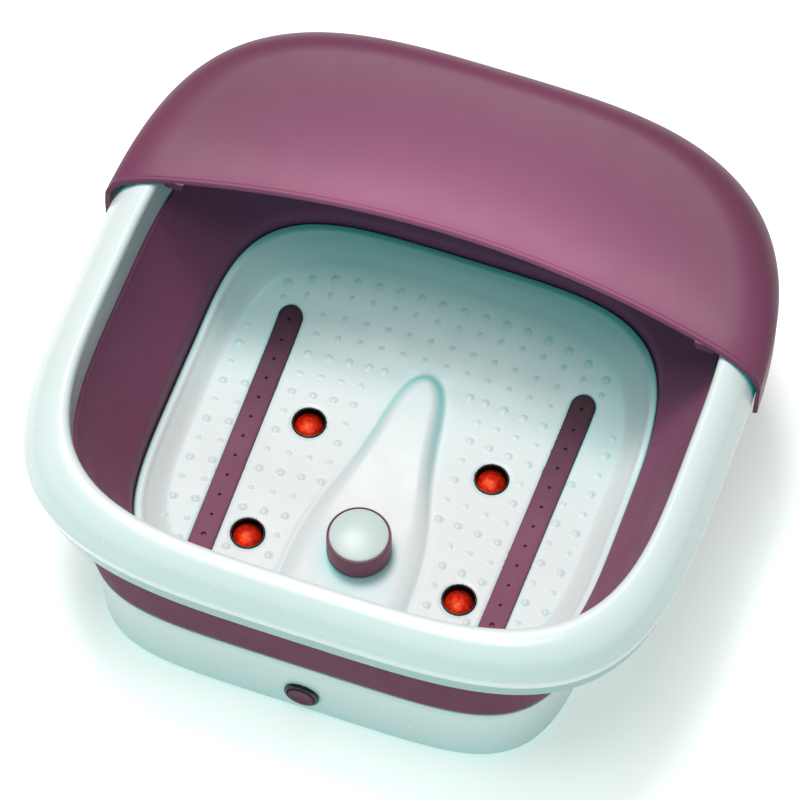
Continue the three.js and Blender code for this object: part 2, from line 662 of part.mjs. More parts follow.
// Half disc with a hub, which shakes the floor as it turns.
function eccentricWeight() {
  const { y, radius, hub, bore, thick } = WEIGHT;
  const shape = new THREE.Shape();
  shape.absarc(0, 0, radius, Math.PI * 1.05, Math.PI * 1.95, false);
  shape.absarc(0, 0, hub, -Math.PI * 0.05, Math.PI * 1.05, false);
  const hole = new THREE.Path();
  hole.absarc(0, 0, bore, 0, 2 * Math.PI, true);
  shape.holes.push(hole);
  const disc = new THREE.ExtrudeGeometry(shape, { depth: thick, bevelEnabled: false, curveSegments: 8 });
  return disc.rotateX(Math.PI / 2).translate(0, y + thick / 2, MOTOR.z);
}

function motorBracket() {
  const { width, cheek, ear, earThick } = BRACKET;
  const outer = MOTOR.radius + 0.4;
  const half = outer + cheek;
  const low = COVER_Z + COVER_THICK + GAP;
  const saddle = block(0, MOTOR.y, (low + MOTOR.z) / 2, 2 * half, width, MOTOR.z - low);
  const ears = block(0, MOTOR.y, low + earThick / 2, 2 * (half + ear), width, earThick);
  return subtract(unite(saddle, [ears]), [bar(0, MOTOR.z, outer, MOTOR.y - 20, MOTOR.y + 20, 16)]);
}

const plate = (x, { y, z, width, depth, thick }) => block(x, y, z, width, depth, thick);
const thermostat = () => post(0, HEATER.y, THERMOSTAT.radius, THERMOSTAT.bottomZ, THERMOSTAT.topZ, 16);

function cordGland() {
  const { x, z, radius, inside, outside, flangeThick } = GLAND;
  const wall = BASE.back - 0.5;
  const flangeY = wall - 8;
  const sleeve = bar(x, z, GLAND.sleeve, wall - inside, wall + outside, 16);
  const flange = bar(x, z, radius, flangeY, flangeY + flangeThick, 16);
  return subtract(unite(sleeve, [flange]), [bar(x, z, GLAND.bore, wall - 20, wall + 20, 12)]);
}

// ---------------------------------------------------------------- the object
const object = new THREE.Group();
object.position.y = (RIM.front - RIM.back - GUARD_REACH) / 2;
function add(name, geometry, material) {
  const mesh = new THREE.Mesh(geometry, material);
  mesh.name = name;
  object.add(mesh);
}

add('base_shell', baseShell(), FINISH.white);
add('bottom_cover', bottomCover(), FINISH.white);
add('mid_band', midBand(), FINISH.plum);
add('inner_basin', innerBasin(), FINISH.liner);
add('rim_ring', rimRing(), FINISH.white);
add('foot_bed', footBed(), FINISH.white);
add('bubble_strip_left', bubbleStrip(-1), FINISH.plum);
add('bubble_strip_right', bubbleStrip(1), FINISH.plum);
for (const lamp of LAMPS) {
  add(`lamp_bezel_${lamp.name}`, lampBezel(lamp), FINISH.black);
  add(`lamp_lens_${lamp.name}`, lampLens(lamp), FINISH.lens);
  add(`lamp_led_${lamp.name}`, lampLed(lamp), FINISH.lens);
}
add('attachment_collar', attachmentCollar(), FINISH.plum);
add('attachment_pad', attachmentPad(), FINISH.pearl);
add('splash_guard', splashGuard(), FINISH.plum);
add('function_button', functionButton(), FINISH.plum);
add('button_bezel', buttonBezel(), FINISH.black);
add('button_spring', tube(new Helix(), SPRING.wire, 30, 3), FINISH.steel);
add('button_switch', buttonSwitch(), FINISH.black);
add('control_board', controlBoard(), FINISH.board);
add('vibration_motor', vibrationMotor(), FINISH.steel);
add('motor_shaft', motorShaft(), FINISH.steel);
add('eccentric_weight', eccentricWeight(), FINISH.steel);
add('motor_bracket', motorBracket(), FINISH.grey);
add('blower_housing', blowerHousing(), FINISH.grey);
add('blower_cover', blowerCover(), FINISH.grey);
add('blower_impeller', blowerImpeller(), FINISH.hose);
add('blower_motor', blowerMotor(), FINISH.steel);
add('air_hose_left', airHose(-1), FINISH.hose);
add('air_hose_right', airHose(1), FINISH.hose);
add('heater_plate', plate(0, HEATER), FINISH.steel);
add('thermostat', thermostat(), FINISH.black);
add('power_board', plate(POWER_BOARD.x, POWER_BOARD), FINISH.board);
add('cord_gland', cordGland(), FINISH.black);
FEET.forEach(([x, y], i) => add(`rubber_foot_${i + 1}`, rubberFoot(x, y), FINISH.rubber));
SCREWS.forEach(([x, y], i) => add(`cover_screw_${i + 1}`, coverScrew(x, y), FINISH.steel));

export default object;
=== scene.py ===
"""Looks of the foot spa basin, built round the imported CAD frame.

Shapes are written in millimetres in the outlines' own frame (x = 0 is the mirror plane, -y is
the front) and moved into the row's frame, in metres, when a mesh is made.
"""

import json
import math

import bmesh
import bpy
import numpy as np
from mathutils import Matrix, Vector


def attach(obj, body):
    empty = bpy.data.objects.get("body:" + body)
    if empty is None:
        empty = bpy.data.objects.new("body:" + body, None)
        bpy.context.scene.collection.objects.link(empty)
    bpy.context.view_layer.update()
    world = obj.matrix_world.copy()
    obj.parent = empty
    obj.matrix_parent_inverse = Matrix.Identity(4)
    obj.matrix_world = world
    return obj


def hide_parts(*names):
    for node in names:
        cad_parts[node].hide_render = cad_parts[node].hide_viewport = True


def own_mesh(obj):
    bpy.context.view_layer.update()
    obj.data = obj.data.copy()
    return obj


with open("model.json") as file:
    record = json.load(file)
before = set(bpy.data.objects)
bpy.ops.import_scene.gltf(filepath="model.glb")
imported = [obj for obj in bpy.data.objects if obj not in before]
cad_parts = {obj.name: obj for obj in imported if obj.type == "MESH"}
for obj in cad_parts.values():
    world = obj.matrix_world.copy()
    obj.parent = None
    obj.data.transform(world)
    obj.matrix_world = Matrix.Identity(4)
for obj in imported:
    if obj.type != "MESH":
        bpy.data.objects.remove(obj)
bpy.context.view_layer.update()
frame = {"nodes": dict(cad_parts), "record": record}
SLOTS = {row["node"]: row["material_slot"] for row in frame["record"]["subparts"]}

MM = 0.001
SHIFT_Y = -8.0  # from the outlines' frame to the row's

# ---- driving dimensions
RIM = dict(half=190, front=173.5, back=186.3, square_front=3.8, square_back=3.4)
BED = dict(half=134, front=128, back=117.5, square_front=4.4, square_back=4)
BASE = dict(half=140, front=161, back=158, square_front=5.4, square_back=5)
BASE_KNEE = dict(half=142.5, front=163.5, back=160, square_front=5.4, square_back=5)
BASE_TOP = dict(half=145, front=163.7, back=160.7, square_front=5.3, square_back=4.9)
BAND_TOP = dict(half=173.5, front=166, back=168, square_front=4, square_back=3.6)
GUARD_REACH = 3.2
EASED_EDGE = 0.25
SKIN = 2.4
GAP = 0.3

BASE_Z = 1.5
BASE_TOP_Z = 57
BAND_TOP_Z = 112
BAND_RISE_Z = 130.9
BAND_RISE_INSET = 15
BASIN_TOP_Z = 108.1
LIP_Z = 96
LIP_SHADE_Z = (108.0, 111.5)  # where the painted shade on the lip ends
BASIN_INSET = 26
FLOOR_Z = 26

BACK_RISE = dict(start=20, run=98)  # where edges climb towards the back
BED_EDGE_Z, STEP_Z = (34, 20), (49, 14)  # height at the front, and how much more at the back
BED_SLOPE = dict(start=45, run=70, height=25.76, power=1.8)
BED_EDGE = dict(start=0.87, lip=0.955, lip_run=0.02)  # shares of the way to the bed's outline
BED_BORDER = [(1.0035, 0.15), (1.0052, 0.7), (1.0052, 2.4)]  # scale and drop round the lip
BED_UNDERSIDE = [0.95, 0.87, 0.7, 0.45, 0.2]
BED_RINGS = [0.12, 0.26, 0.42, 0.58, 0.74, 0.87, 0.94, 1]
LINER_WALL = [(0.03, 0), (0.08, 0.35), (0.2, 0.9), (0.4, 1.5), (0.6, 1.4), (0.8, 0.8), (0.93, 0.2)]
RIDGE_FOOT = [  # y and half width along the foot of the ridge
    (-128, 37.6), (-96, 37.4), (-79, 36.9), (-68, 36.2), (-54, 34.1), (-40, 31), (-29, 27.7),
    (-16, 23.9), (-4, 21.1), (8, 18.9), (19, 17.2), (30, 15.2), (38, 13), (44, 10.4),
    (47.6, 7.8), (49.7, 5), (50.8, 2), (51.4, -1.5), (60, -30),
]
RIDGE = dict(height=2.3, nose_rise=4.2, shoulder=8, front_shoulder=5, power=2.1, toe=0.4, ease=1.4)
GROOVE = dict(depth=0.45, away=0.6, half=2.1)
STRIP = dict(half=7.3, front_x=85.5, back_x=89, front_y=-104, back_y=68)
LAMPS = {"front_left": (-63, -79), "front_right": (63, -79), "back_left": (-55, 0), "back_right": (55, 0)}
LAMP_RADIUS = 10
AIR_INLET = dict(x=88, y=44, nipple=3, bore=3.3)
AIR_HOLES = dict(first_y=-88.5, pitch=13.4, count=12, first_radius=1.5, radius=0.85)
NUB_LARGE, NUB_SMALL = (2.45, 0.85), (1.7, 0.62)  # radius and height
NUB_PITCH, NUB_BOW = 13.35, 8.7e-4
NUB_COLUMNS = [35.2, 47, 59, 71.4, 98.4, 111]
PAD = dict(x=0, y=-69, radius=18.4, bottom=28.9, rim=44.6)
POST = dict(radius=7, low=27, top=40.6)
GUARD = dict(wall=128, front=140.2, top=169, climb=95, sag=0.35, roll=28, skirt=108, skin=2.6)
BEAD_REACH = 3.2
GUARD_FRONT = dict(y=79.7, bow=8.4e-4, lean=0.16)
TAB_X = 156.5
BUTTON_Z = 22.5
WALL_Y, STEM_END = -162, -152.8  # wall's face at the button, and the inner end of its stem
SPRING = dict(radius=4, wire=0.6, turns=3, start=-155.6, end=-150.8, keep=0.62)
COVER_Z, COVER_THICK = 2.6, 2
GLAND = dict(x=60, z=22, bore=6.3)
BOSS = dict(radius=5, top=19, bore=1.9, web_top=17)
SCREWS = [(-126, -60), (126, -60), (-126, 70), (126, 70), (-60, -149), (60, -149)]
FEET = [(-112, -128), (112, -128), (-106, 116), (106, 116)]

TURN = 192  # points round each outline
BED_GRID = (330, 302)  # columns and rows of the foot bed's surface

# ---- camera, light and floor
CAMERA = dict(azimuth=19.2, elevation=59.86, roll=0.455, distance=2.88522, lens=232.23)
TARGET = Vector((-0.00097, -0.00623, 0.080))


def new_object(name, data):
    made = bpy.data.objects.new(name, data)
    bpy.context.scene.collection.objects.link(made)
    return made


def add_camera():
    azimuth, elevation, roll = (math.radians(CAMERA[k]) for k in ("azimuth", "elevation", "roll"))
    flat = math.cos(elevation)
    back = Vector((math.sin(azimuth) * flat, -math.cos(azimuth) * flat, math.sin(elevation)))
    right = Vector((math.cos(azimuth), math.sin(azimuth), 0))
    up = back.cross(right)
    across = math.cos(roll) * right + math.sin(roll) * up
    upright = -math.sin(roll) * right + math.cos(roll) * up
    data = bpy.data.cameras.new("camera")
    data.sensor_width = 36
    data.lens = CAMERA["lens"]
    data.clip_start = 0.05
    data.clip_end = 50
    camera = new_object("camera", data)
    place = Matrix((across, upright, back)).transposed().to_4x4()
    place.translation = TARGET + CAMERA["distance"] * back
    camera.matrix_world = place
    bpy.context.scene.camera = camera


LIGHTS = {  # place, size, power, colour and aim
    "key": ((-0.7, 0.75, 3.2), (1.1, 1.1), 82, (1.0, 0.965, 0.97), (0, 0, 0.06)),
    "overhead": ((-0.1, -0.45, 3.4), (1.4, 1.1), 34, (1, 1, 1), (0, 0, 0.06)),
    "front_fill": ((0.4, -3.0, 0.75), (2.4, 0.8), 1.5, (0.84, 0.98, 1.0), (0, 0, 0.06)),
    "basin_fill": ((0.2, -2.4, 1.75), (1.2, 0.8), 16, (0.16, 1.0, 0.95), (0, 0.08, 0.05)),
}
SKY, SKY_STRENGTH = (0.48, 0.87, 0.86, 1), 0.21
FLOOR_HALF, FLOOR_DROP = 8.0, -0.0002
FLOOR_GLOW = (1.0, 0.86, 0.83, 1)


def add_light(name, place, size, power, color, aim):
    data = bpy.data.lights.new(name, "AREA")
    data.shape = "RECTANGLE"
    data.size, data.size_y = size
    data.energy = power
    data.color = color
    light = new_object(name, data)
    light.location = place
    light.rotation_euler = (Vector(aim) - Vector(place)).to_track_quat("-Z", "Y").to_euler()
    return light


def add_studio():
    lights = {name: add_light(name, *setup) for name, setup in LIGHTS.items()}
    lights["basin_fill"].visible_glossy = False
    world = bpy.data.worlds.new("studio")
    world.use_nodes = True
    set_inputs(world.node_tree.nodes["Background"], {"Color": SKY, "Strength": SKY_STRENGTH})
    bpy.context.scene.world = world
    bpy.context.scene.view_settings.view_transform = "Standard"


# ---- materials
# Painted shade: teal mixed into the white plastics where ambient occlusion finds them hemmed in, stronger on
# the rim, and a deeper colour painted on the rim's low lip.
PAINTED_SHADE_TEAL = (0.15, 0.71, 0.69)
RIM_PAINTED_SHADE_TEAL = (0.04, 0.95, 0.92)
PAINTED_SHADE_DISTANCE, PAINTED_SHADE_SAMPLES = 0.2, 8
PAINTED_SHADE_OPENNESS, PAINTED_SHADE_SHARE = (0.20, 0.58), (0.88, 0.0)
LIP_SHADE = (0.30, 0.50, 0.48)
GRAIN_DEPTH = 0.0002


def new_material(name):
    material = bpy.data.materials.new(name)
    material.use_nodes = True
    tree = material.node_tree
    return material, tree, tree.nodes["Principled BSDF"]


def set_inputs(node, values):
    """Sets a node's inputs to values, or links them to other nodes' outputs."""
    for socket, value in values.items():
        if isinstance(value, bpy.types.NodeSocket):
            node.id_data.links.new(value, node.inputs[socket])
        else:
            node.inputs[socket].default_value = value


def coordinates(tree, kind="Object"):
    for node in tree.nodes:
        if node.type == "TEX_COORD":
            return node.outputs[kind]
    return tree.nodes.new("ShaderNodeTexCoord").outputs[kind]


def noise(tree, scale, detail=3.0, place=None):
    node = tree.nodes.new("ShaderNodeTexNoise")
    set_inputs(node, {"Scale": scale, "Detail": detail, "Vector": place or coordinates(tree)})
    return node.outputs["Fac"]


def ramp(tree, value, low, high, start=0.3, end=0.7):
    """Colour between low and high as value goes from start to end."""
    node = tree.nodes.new("ShaderNodeValToRGB")
    stops = node.color_ramp.elements
    stops[0].position, stops[1].position = start, end
    stops[0].color, stops[1].color = (*low, 1), (*high, 1)
    set_inputs(node, {"Fac": value})
    return node.outputs["Color"]


def rescale(tree, value, source, target=(0, 1), interpolation="LINEAR"):
    """Number that goes through the target range as value goes through the source range."""
    node = tree.nodes.new("ShaderNodeMapRange")
    node.interpolation_type = interpolation
    set_inputs(node, dict(zip(("Value", "From Min", "From Max", "To Min", "To Max"),
                              (value, *source, *target))))
    return node.outputs["Result"]


def spread(tree, value, low, high):
    """Number between low and high, driven by a noise."""
    return rescale(tree, value, (0.3, 0.7), (low, high))


def mix_colors(tree, share, first, second, blend="MIX"):
    """Blend of two colours; share and colours are values or sockets."""
    mix = tree.nodes.new("ShaderNodeMix")
    mix.data_type = "RGBA"
    mix.blend_type = blend
    set_inputs(mix, {0: share, 6: first, 7: second})  # by number: the names are shared by types
    return mix.outputs[2]


def add_bump(tree, shader, height, strength, distance=GRAIN_DEPTH):
    node = tree.nodes.new("ShaderNodeBump")
    set_inputs(node, {"Strength": strength, "Distance": distance, "Height": height})
    set_inputs(shader, {"Normal": node.outputs["Normal"]})


def distance_across(tree, middle, stretch):
    """Distance in plan from a middle, in shares of the piece's own width and depth."""
    place = tree.nodes.new("ShaderNodeMapping")
    set_inputs(place, {"Location": (-middle[0] * stretch[0], -middle[1] * stretch[1], 0),
                       "Scale": (*stretch, 0), "Vector": coordinates(tree, "Generated")})
    length = tree.nodes.new("ShaderNodeVectorMath")
    length.operation = "LENGTH"
    set_inputs(length, {0: place.outputs["Vector"]})
    return length.outputs["Value"]


def paint_hollow_shade(tree, tint, painted_shade):
    """Painted shade: mixes towards a teal shade colour where the surface sits deep among others, by ambient
    occlusion.
    """
    depth = tree.nodes.new("ShaderNodeAmbientOcclusion")
    depth.samples = PAINTED_SHADE_SAMPLES
    set_inputs(depth, {"Distance": PAINTED_SHADE_DISTANCE})
    share = rescale(tree, depth.outputs["AO"], PAINTED_SHADE_OPENNESS, PAINTED_SHADE_SHARE, "SMOOTHSTEP")
    return mix_colors(tree, share, tint, (*painted_shade, 1))


def paint_edge_shade(tree, tint, painted_falloff):
    """Painted shade: darkens the colour away from a middle, given as (middle, stretch, start, end, share
    left).
    """
    middle, stretch, start, end, left = painted_falloff
    share = ramp(tree, distance_across(tree, middle, stretch), (1, 1, 1), (left,) * 3, start, end)
    return mix_colors(tree, 1.0, tint, share, "MULTIPLY")


def shade_lip(tree, tint, shade):
    """Painted shade: darkens the colour of the strip that turns in below the rim's outer face."""
    split = tree.nodes.new("ShaderNodeSeparateXYZ")
    set_inputs(split, {"Vector": coordinates(tree)})
    height = rescale(tree, split.outputs["Z"], [z * MM for z in LIP_SHADE_Z])
    return mix_colors(tree, 1.0, tint, ramp(tree, height, shade, (1, 1, 1), 0, 1), "MULTIPLY")


def plastic(name, color, drift, roughness, grain=900, bump=0.10, coat=0.0, specular=0.5, ior=1.5,
            painted_shade=None, painted_falloff=None, lip=None):
    """Moulded plastic: slow colour drift, uneven gloss and, with bump, a fine tool-mark grain.

    Its last three arguments paint shade: the first is the shade colour mixed in where light reaches
    it only by bouncing, the second is painted shade deepening the tint towards the piece's edges,
    and lip is painted shade on the rim's low lip.
    """
    material, tree, shader = new_material(name)
    light = tuple(min(c * (1 + drift), 1) for c in color)
    dark = tuple(c * (1 - drift) for c in color)
    tint = ramp(tree, noise(tree, 14, 4), dark, light)
    for change, look in ((paint_hollow_shade, painted_shade), (paint_edge_shade, painted_falloff), (shade_lip, lip)):
        if look:
            tint = change(tree, tint, look)
    rough = spread(tree, noise(tree, 60, 5), *roughness)
    set_inputs(shader, {"Base Color": tint, "Roughness": rough, "Coat Weight": coat,
                        "Coat Roughness": 0.16, "Specular IOR Level": specular, "IOR": ior})
    if bump:
        add_bump(tree, shader, noise(tree, grain, 2), bump)
    return material


def glossy_white(name, color, painted_shade=PAINTED_SHADE_TEAL, lip=None):
    return plastic(name, color, 0.012, (0.20, 0.28), bump=0, coat=0.2, painted_shade=painted_shade, lip=lip)


def brushed_metal():
    material, tree, shader = new_material("steel")
    stretch = tree.nodes.new("ShaderNodeMapping")
    set_inputs(stretch, {"Scale": (400, 400, 4000), "Vector": coordinates(tree)})
    streaks = noise(tree, 1.0, 2, stretch.outputs["Vector"])
    color = ramp(tree, streaks, (0.42, 0.43, 0.44), (0.60, 0.61, 0.62))
    rough = spread(tree, streaks, 0.24, 0.42)
    set_inputs(shader, {"Base Color": color, "Roughness": rough, "Metallic": 1})
    return material


def red_lens():
    """Red lens with moulded prisms that glows in its own colour; that colour holds painted shade, dark at the
    edge, and a painted highlight, an orange hot spot toward the front.
    """
    material, tree, shader = new_material("red_lens")
    cells = tree.nodes.new("ShaderNodeTexVoronoi")
    set_inputs(cells, {"Scale": 420, "Vector": coordinates(tree)})
    # painted highlight and painted shade: orange at a spot toward the lens's front, red further out, near
    # black at the edge
    painted_spot_and_shade = tree.nodes.new("ShaderNodeValToRGB")
    stops = painted_spot_and_shade.color_ramp.elements
    stops[0].position, stops[0].color = 0.02, (0.88, 0.09, 0.005, 1)
    stops[1].position, stops[1].color = 0.62, (0.035, 0.002, 0.001, 1)
    stops.new(0.24).color = (0.60, 0.018, 0.002, 1)
    set_inputs(painted_spot_and_shade, {"Fac": distance_across(tree, (0.47, 0.33), (1, 1))})
    facets = ramp(tree, cells.outputs["Distance"], (1, 1, 1), (0.5, 0.36, 0.34), 0.15, 0.85)
    color = mix_colors(tree, 1.0, painted_spot_and_shade.outputs["Color"], facets, "MULTIPLY")
    rough = spread(tree, noise(tree, 300), 0.30, 0.42)
    set_inputs(shader, {"Base Color": color, "Emission Color": color, "Roughness": rough,
                        "Emission Strength": 0.5, "Specular IOR Level": 0.08})
    add_bump(tree, shader, cells.outputs["Distance"], 0.35, 0.0006)
    return material


def circuit_board():
    material, tree, shader = new_material("board")
    weave = noise(tree, 700, 2)
    color = ramp(tree, weave, (0.015, 0.10, 0.03), (0.03, 0.17, 0.06))
    set_inputs(shader, {"Base Color": color, "Roughness": spread(tree, weave, 0.35, 0.55)})
    add_bump(tree, shader, weave, 0.2)
    return material


# Painted shade: each white plastic below takes a teal shade colour in its hollows.
WHITE = glossy_white("white_plastic", (0.74, 0.745, 0.735))
# Painted shade: the base's white is a darker copy of the same white plastic, for its wall in the shade under
# the rim.
BASE_WHITE_PAINTED_SHADE = glossy_white("base_plastic_painted_shade", (0.62, 0.645, 0.64))
# The rim's white also carries painted shade on the strip below its outer face.
RIM_WHITE = glossy_white("rim_plastic", (0.74, 0.745, 0.735), RIM_PAINTED_SHADE_TEAL, LIP_SHADE)
BED_WHITE = plastic("bed_plastic", (0.68, 0.69, 0.68), 0.012, (0.34, 0.42), bump=0, specular=0.4,
                    painted_shade=PAINTED_SHADE_TEAL)
PLUM = plastic("plum_plastic", (0.27, 0.083, 0.150), 0.02, (0.44, 0.48), bump=0.06, specular=0.3)
# Painted light: the hood's plum is a brighter copy of the plum plastic, with painted shade darkening it away
# from its front middle towards the back and sides.
HOOD_PLUM_PAINTED_LIGHT = plastic("hood_plastic_painted_light", (0.335, 0.089, 0.172), 0.02, (0.44, 0.48), bump=0.06,
                    specular=0.2, painted_falloff=((0.51, 0.12), (1.0, 0.66), 0.18, 0.54, 0.46))
# Painted shade: the band's plum is a darker copy of the plum plastic, for the band in the shade of the rim.
BAND_PLUM_PAINTED_SHADE = plastic("band_plastic_painted_shade", (0.15, 0.032, 0.072), 0.03, (0.45, 0.55), bump=0.12,
                    specular=0.2, ior=1.3)
LINER = plastic("liner_plastic", (0.235, 0.063, 0.126), 0.04, (0.42, 0.52), bump=0.12,
                specular=0.22, ior=1.4)
BUTTON_PLUM = plastic("button_plastic", (0.115, 0.026, 0.054), 0.04, (0.34, 0.44), bump=0.15,
                      specular=0.12)
# Painted shadow: the strips darken towards their back ends, where the hood's shadow falls.
STRIP_PLUM = plastic("strip_plastic", (0.20, 0.066, 0.112), 0.05, (0.45, 0.58), bump=0.2,
                     specular=0.25, ior=1.35, painted_falloff=((0.5, 0.0), (0, 1.0), 0.45, 1.0, 0.22))
BLACK = plastic("black_plastic", (0.006, 0.005, 0.005), 0.2, (0.22, 0.38))
PEARL = plastic("pearl_plastic", (0.58, 0.67, 0.63), 0.03, (0.34, 0.44), bump=0.03)
RUBBER = plastic("rubber", (0.022, 0.022, 0.023), 0.25, (0.75, 0.92), grain=1500, bump=0.5)
STEEL = brushed_metal()
LENS = red_lens()
FINISH = {
    "white_plastic": WHITE,
    "plum_plastic": PLUM,
    "liner_plastic": LINER,
    "black_plastic": BLACK,
    "pearl_plastic": PEARL,
    "rubber": RUBBER,
    "hose": plastic("hose", (0.62, 0.64, 0.63), 0.05, (0.40, 0.55)),
    "grey_plastic": plastic("grey_plastic", (0.19, 0.21, 0.215), 0.08, (0.42, 0.58), bump=0.3),
    "steel": STEEL,
    "red_lens": LENS,
    "lamp_glass": LENS,
    "board": circuit_board(),
}


# ---- outlines and relief
def smooth(t):
    u = np.clip(t, 0, 1)
    return u * u * (3 - 2 * u)


def by_side(shape, behind, offset=0.0):
    """Squareness and reach of the outline's back half, or of its front half."""
    squareness = np.where(behind, shape["square_back"], shape["square_front"])
    return squareness, np.where(behind, shape["back"], shape["front"]) + offset


def outline(shape, angle, offset=0.0, scale=1.0):
    """Points of a plan outline at the given angles, as an (n, 2) array."""
    angle = np.asarray(angle, float)
    cos, sin = np.cos(angle), np.sin(angle)
    squareness, reach = by_side(shape, sin >= 0, offset)
    x = (shape["half"] + offset) * np.sign(cos) * np.abs(cos) ** (2 / squareness)
    y = reach * np.sign(sin) * np.abs(sin) ** (2 / squareness)
    return np.stack([x, y], -1) * scale


def outline_reach(shape, x, y, offset=0.0):
    """0 in the middle of an outline, 1 on it."""
    n, reach = by_side(shape, np.asarray(y) >= 0, offset)
    return (np.abs(x / (shape["half"] + offset)) ** n + np.abs(y / reach) ** n) ** (1 / n)


def even_angles(shape, start, end, count):
    """Angles that cut a stretch of an outline into equal lengths."""
    fine = np.linspace(start, end, 8001)
    points = outline(shape, fine)
    steps = np.hypot(*np.diff(points, axis=0).T)
    length = np.concatenate([[0], np.cumsum(steps)])
    return np.interp(np.linspace(0, length[-1], count + 1), length, fine)


ROUND = even_angles(RIM, 0, 2 * math.pi, TURN)[:-1]


def ridge_half(y):
    return np.interp(y, *np.array(RIDGE_FOOT).T)


def ridge_inside(x, y):
    """Distance inside the foot line of the ridge, negative outside it."""
    ys, halves = np.array(RIDGE_FOOT).T
    x, y = np.abs(np.asarray(x, float)), np.asarray(y, float)
    away = np.full(np.broadcast(x, y).shape, np.inf)
    for y0, x0, y1, x1 in zip(ys[:-2], halves[:-2], ys[1:-1], halves[1:-1]):
        run_x, run_y = x1 - x0, y1 - y0
        t = np.clip(((x - x0) * run_x + (y - y0) * run_y) / (run_x ** 2 + run_y ** 2), 0, 1)
        away = np.minimum(away, np.hypot(x - x0 - t * run_x, y - y0 - t * run_y))
    return np.where(ridge_half(y) > x, away, -away)


def ridge_height(x, y):
    """The divider between the feet: a raised tongue with a high round nose and a low wide front."""
    inside = ridge_inside(x, y)
    inside = (inside + np.sqrt(inside * inside + RIDGE["ease"])) / 2 - 0.02
    high = RIDGE["height"] + RIDGE["nose_rise"] * smooth((y + 62) / 85)
    shoulder = RIDGE["shoulder"] + RIDGE["front_shoulder"] * smooth((-y - 10) / 60)
    rise = high * (1 - (1 - np.minimum(inside / shoulder, 1)) ** RIDGE["power"])
    return np.where(inside > 0, rise * smooth(inside / RIDGE["toe"]), 0)


def ridge_groove(x, y):
    """Shallow valley that runs along the foot of the ridge."""
    away = np.abs(x) - ridge_half(y)
    slope = np.abs(ridge_half(y + 1) - ridge_half(y - 1)) / 2
    away = away / np.sqrt(1 + slope * slope)
    valley = GROOVE["depth"] * np.exp(-((away - GROOVE["away"]) / GROOVE["half"]) ** 2)
    return valley * smooth((53 - y) / 6)


def edge_height(y, front_and_rise):
    front, rise = front_and_rise
    return front + rise * smooth((y - BACK_RISE["start"]) / BACK_RISE["run"])


def floor_height(x, y):
    """Bed without its ridge: level, climbing at the back, and turned up to the edge all round."""
    x, y = np.asarray(x, float), np.asarray(y, float)
    slope = np.clip((y - BED_SLOPE["start"]) / BED_SLOPE["run"], 0, 1.1) ** BED_SLOPE["power"]
    back = BED_SLOPE["height"] * slope
    edge = edge_height(y, BED_EDGE_Z) - FLOOR_Z - back
    start = BED_EDGE["start"]
    return FLOOR_Z + back + edge * smooth((outline_reach(BED, x, y) - start) / (1 - start))


def bed_height(x, y):
    return floor_height(x, y) + ridge_height(x, y)


def strip_centre(y):
    run = np.clip((y - STRIP["front_y"]) / (STRIP["back_y"] - STRIP["front_y"]), 0, 1)
    return STRIP["front_x"] + (STRIP["back_x"] - STRIP["front_x"]) * run


def strip_distance(x, y):
    """Distance outside the nearer strip's outline, negative inside it."""
    x = np.abs(x)
    half = STRIP["half"]
    along = np.clip(y, STRIP["front_y"] + half, STRIP["back_y"] - half)
    return np.hypot(x - strip_centre(along), y - along) - half


def massage_nubs():
    """Every nub as (x, y, radius, height), mirrored left to right."""
    nubs = []
    for row in range(12):
        size = NUB_LARGE if row % 2 == 0 else NUB_SMALL
        for x in NUB_COLUMNS + ([25.9] if row == 0 else []):
            nubs.append((x, 46.8 - NUB_PITCH * row - NUB_BOW * x * x, *size))
    for x in [6.45 + 12.9 * n for n in range(8)]:
        bend = (x / 98) ** 4
        nubs.append((x, 59.8 - NUB_BOW * x * x, 1.7, 0.5))
        nubs.append((x, 71.2 - 7.5e-4 * x * x, *NUB_SMALL))
        nubs.append((x, 82.6 - 12.7 * bend, *NUB_SMALL))
        nubs.append((x, 91.9 - 13.3 * bend, *NUB_LARGE))
    nubs.append((111, 48.3, *NUB_SMALL))
    return [(side * x, y, *size) for x, y, *size in nubs if nub_fits(x, y) for side in (1, -1)]


def nub_fits(x, y):
    """Whether a nub stays clear of lamps, ridge, massage attachment, strips and the bed's edge."""
    lamps = min(math.hypot(x - abs(lamp_x), y - lamp_y) for lamp_x, lamp_y in LAMPS.values())
    return (lamps > LAMP_RADIUS + 3.2 and x >= ridge_half(y) + 3.5
            and math.hypot(x, y - PAD["y"]) >= PAD["radius"] + 8
            and strip_distance(x, y) > 3.2 and outline_reach(BED, x, y) < 0.90)


# ---- mesh making
def grid_faces(rows, columns, wrap_rows=False, wrap_columns=False):
    r = np.arange(rows if wrap_rows else rows - 1)[:, None]
    c = np.arange(columns if wrap_columns else columns - 1)[None, :]
    r_next, c_next = (r + 1) % rows, (c + 1) % columns
    corners = [r * columns + c, r * columns + c_next, r_next * columns + c_next, r_next * columns + c]
    return np.stack(corners, -1).reshape(-1, 4).tolist()


def rings_to_mesh(rings, joined=False):
    """Rings of equal length into points and faces: joined end to end, or capped."""
    count = len(rings[0])
    points = np.concatenate([np.asarray(ring, float) for ring in rings])
    faces = grid_faces(len(rings), count, wrap_rows=joined, wrap_columns=True)
    if not joined:
        last = len(points) - count
        faces += [list(range(count))[::-1], list(range(last, last + count))]
    return points, faces


def level(points, z):
    return np.column_stack([points, np.full(len(points), float(z))])


def level_ring(shape, inset, z):
    return level(outline(shape, ROUND, -inset), z)


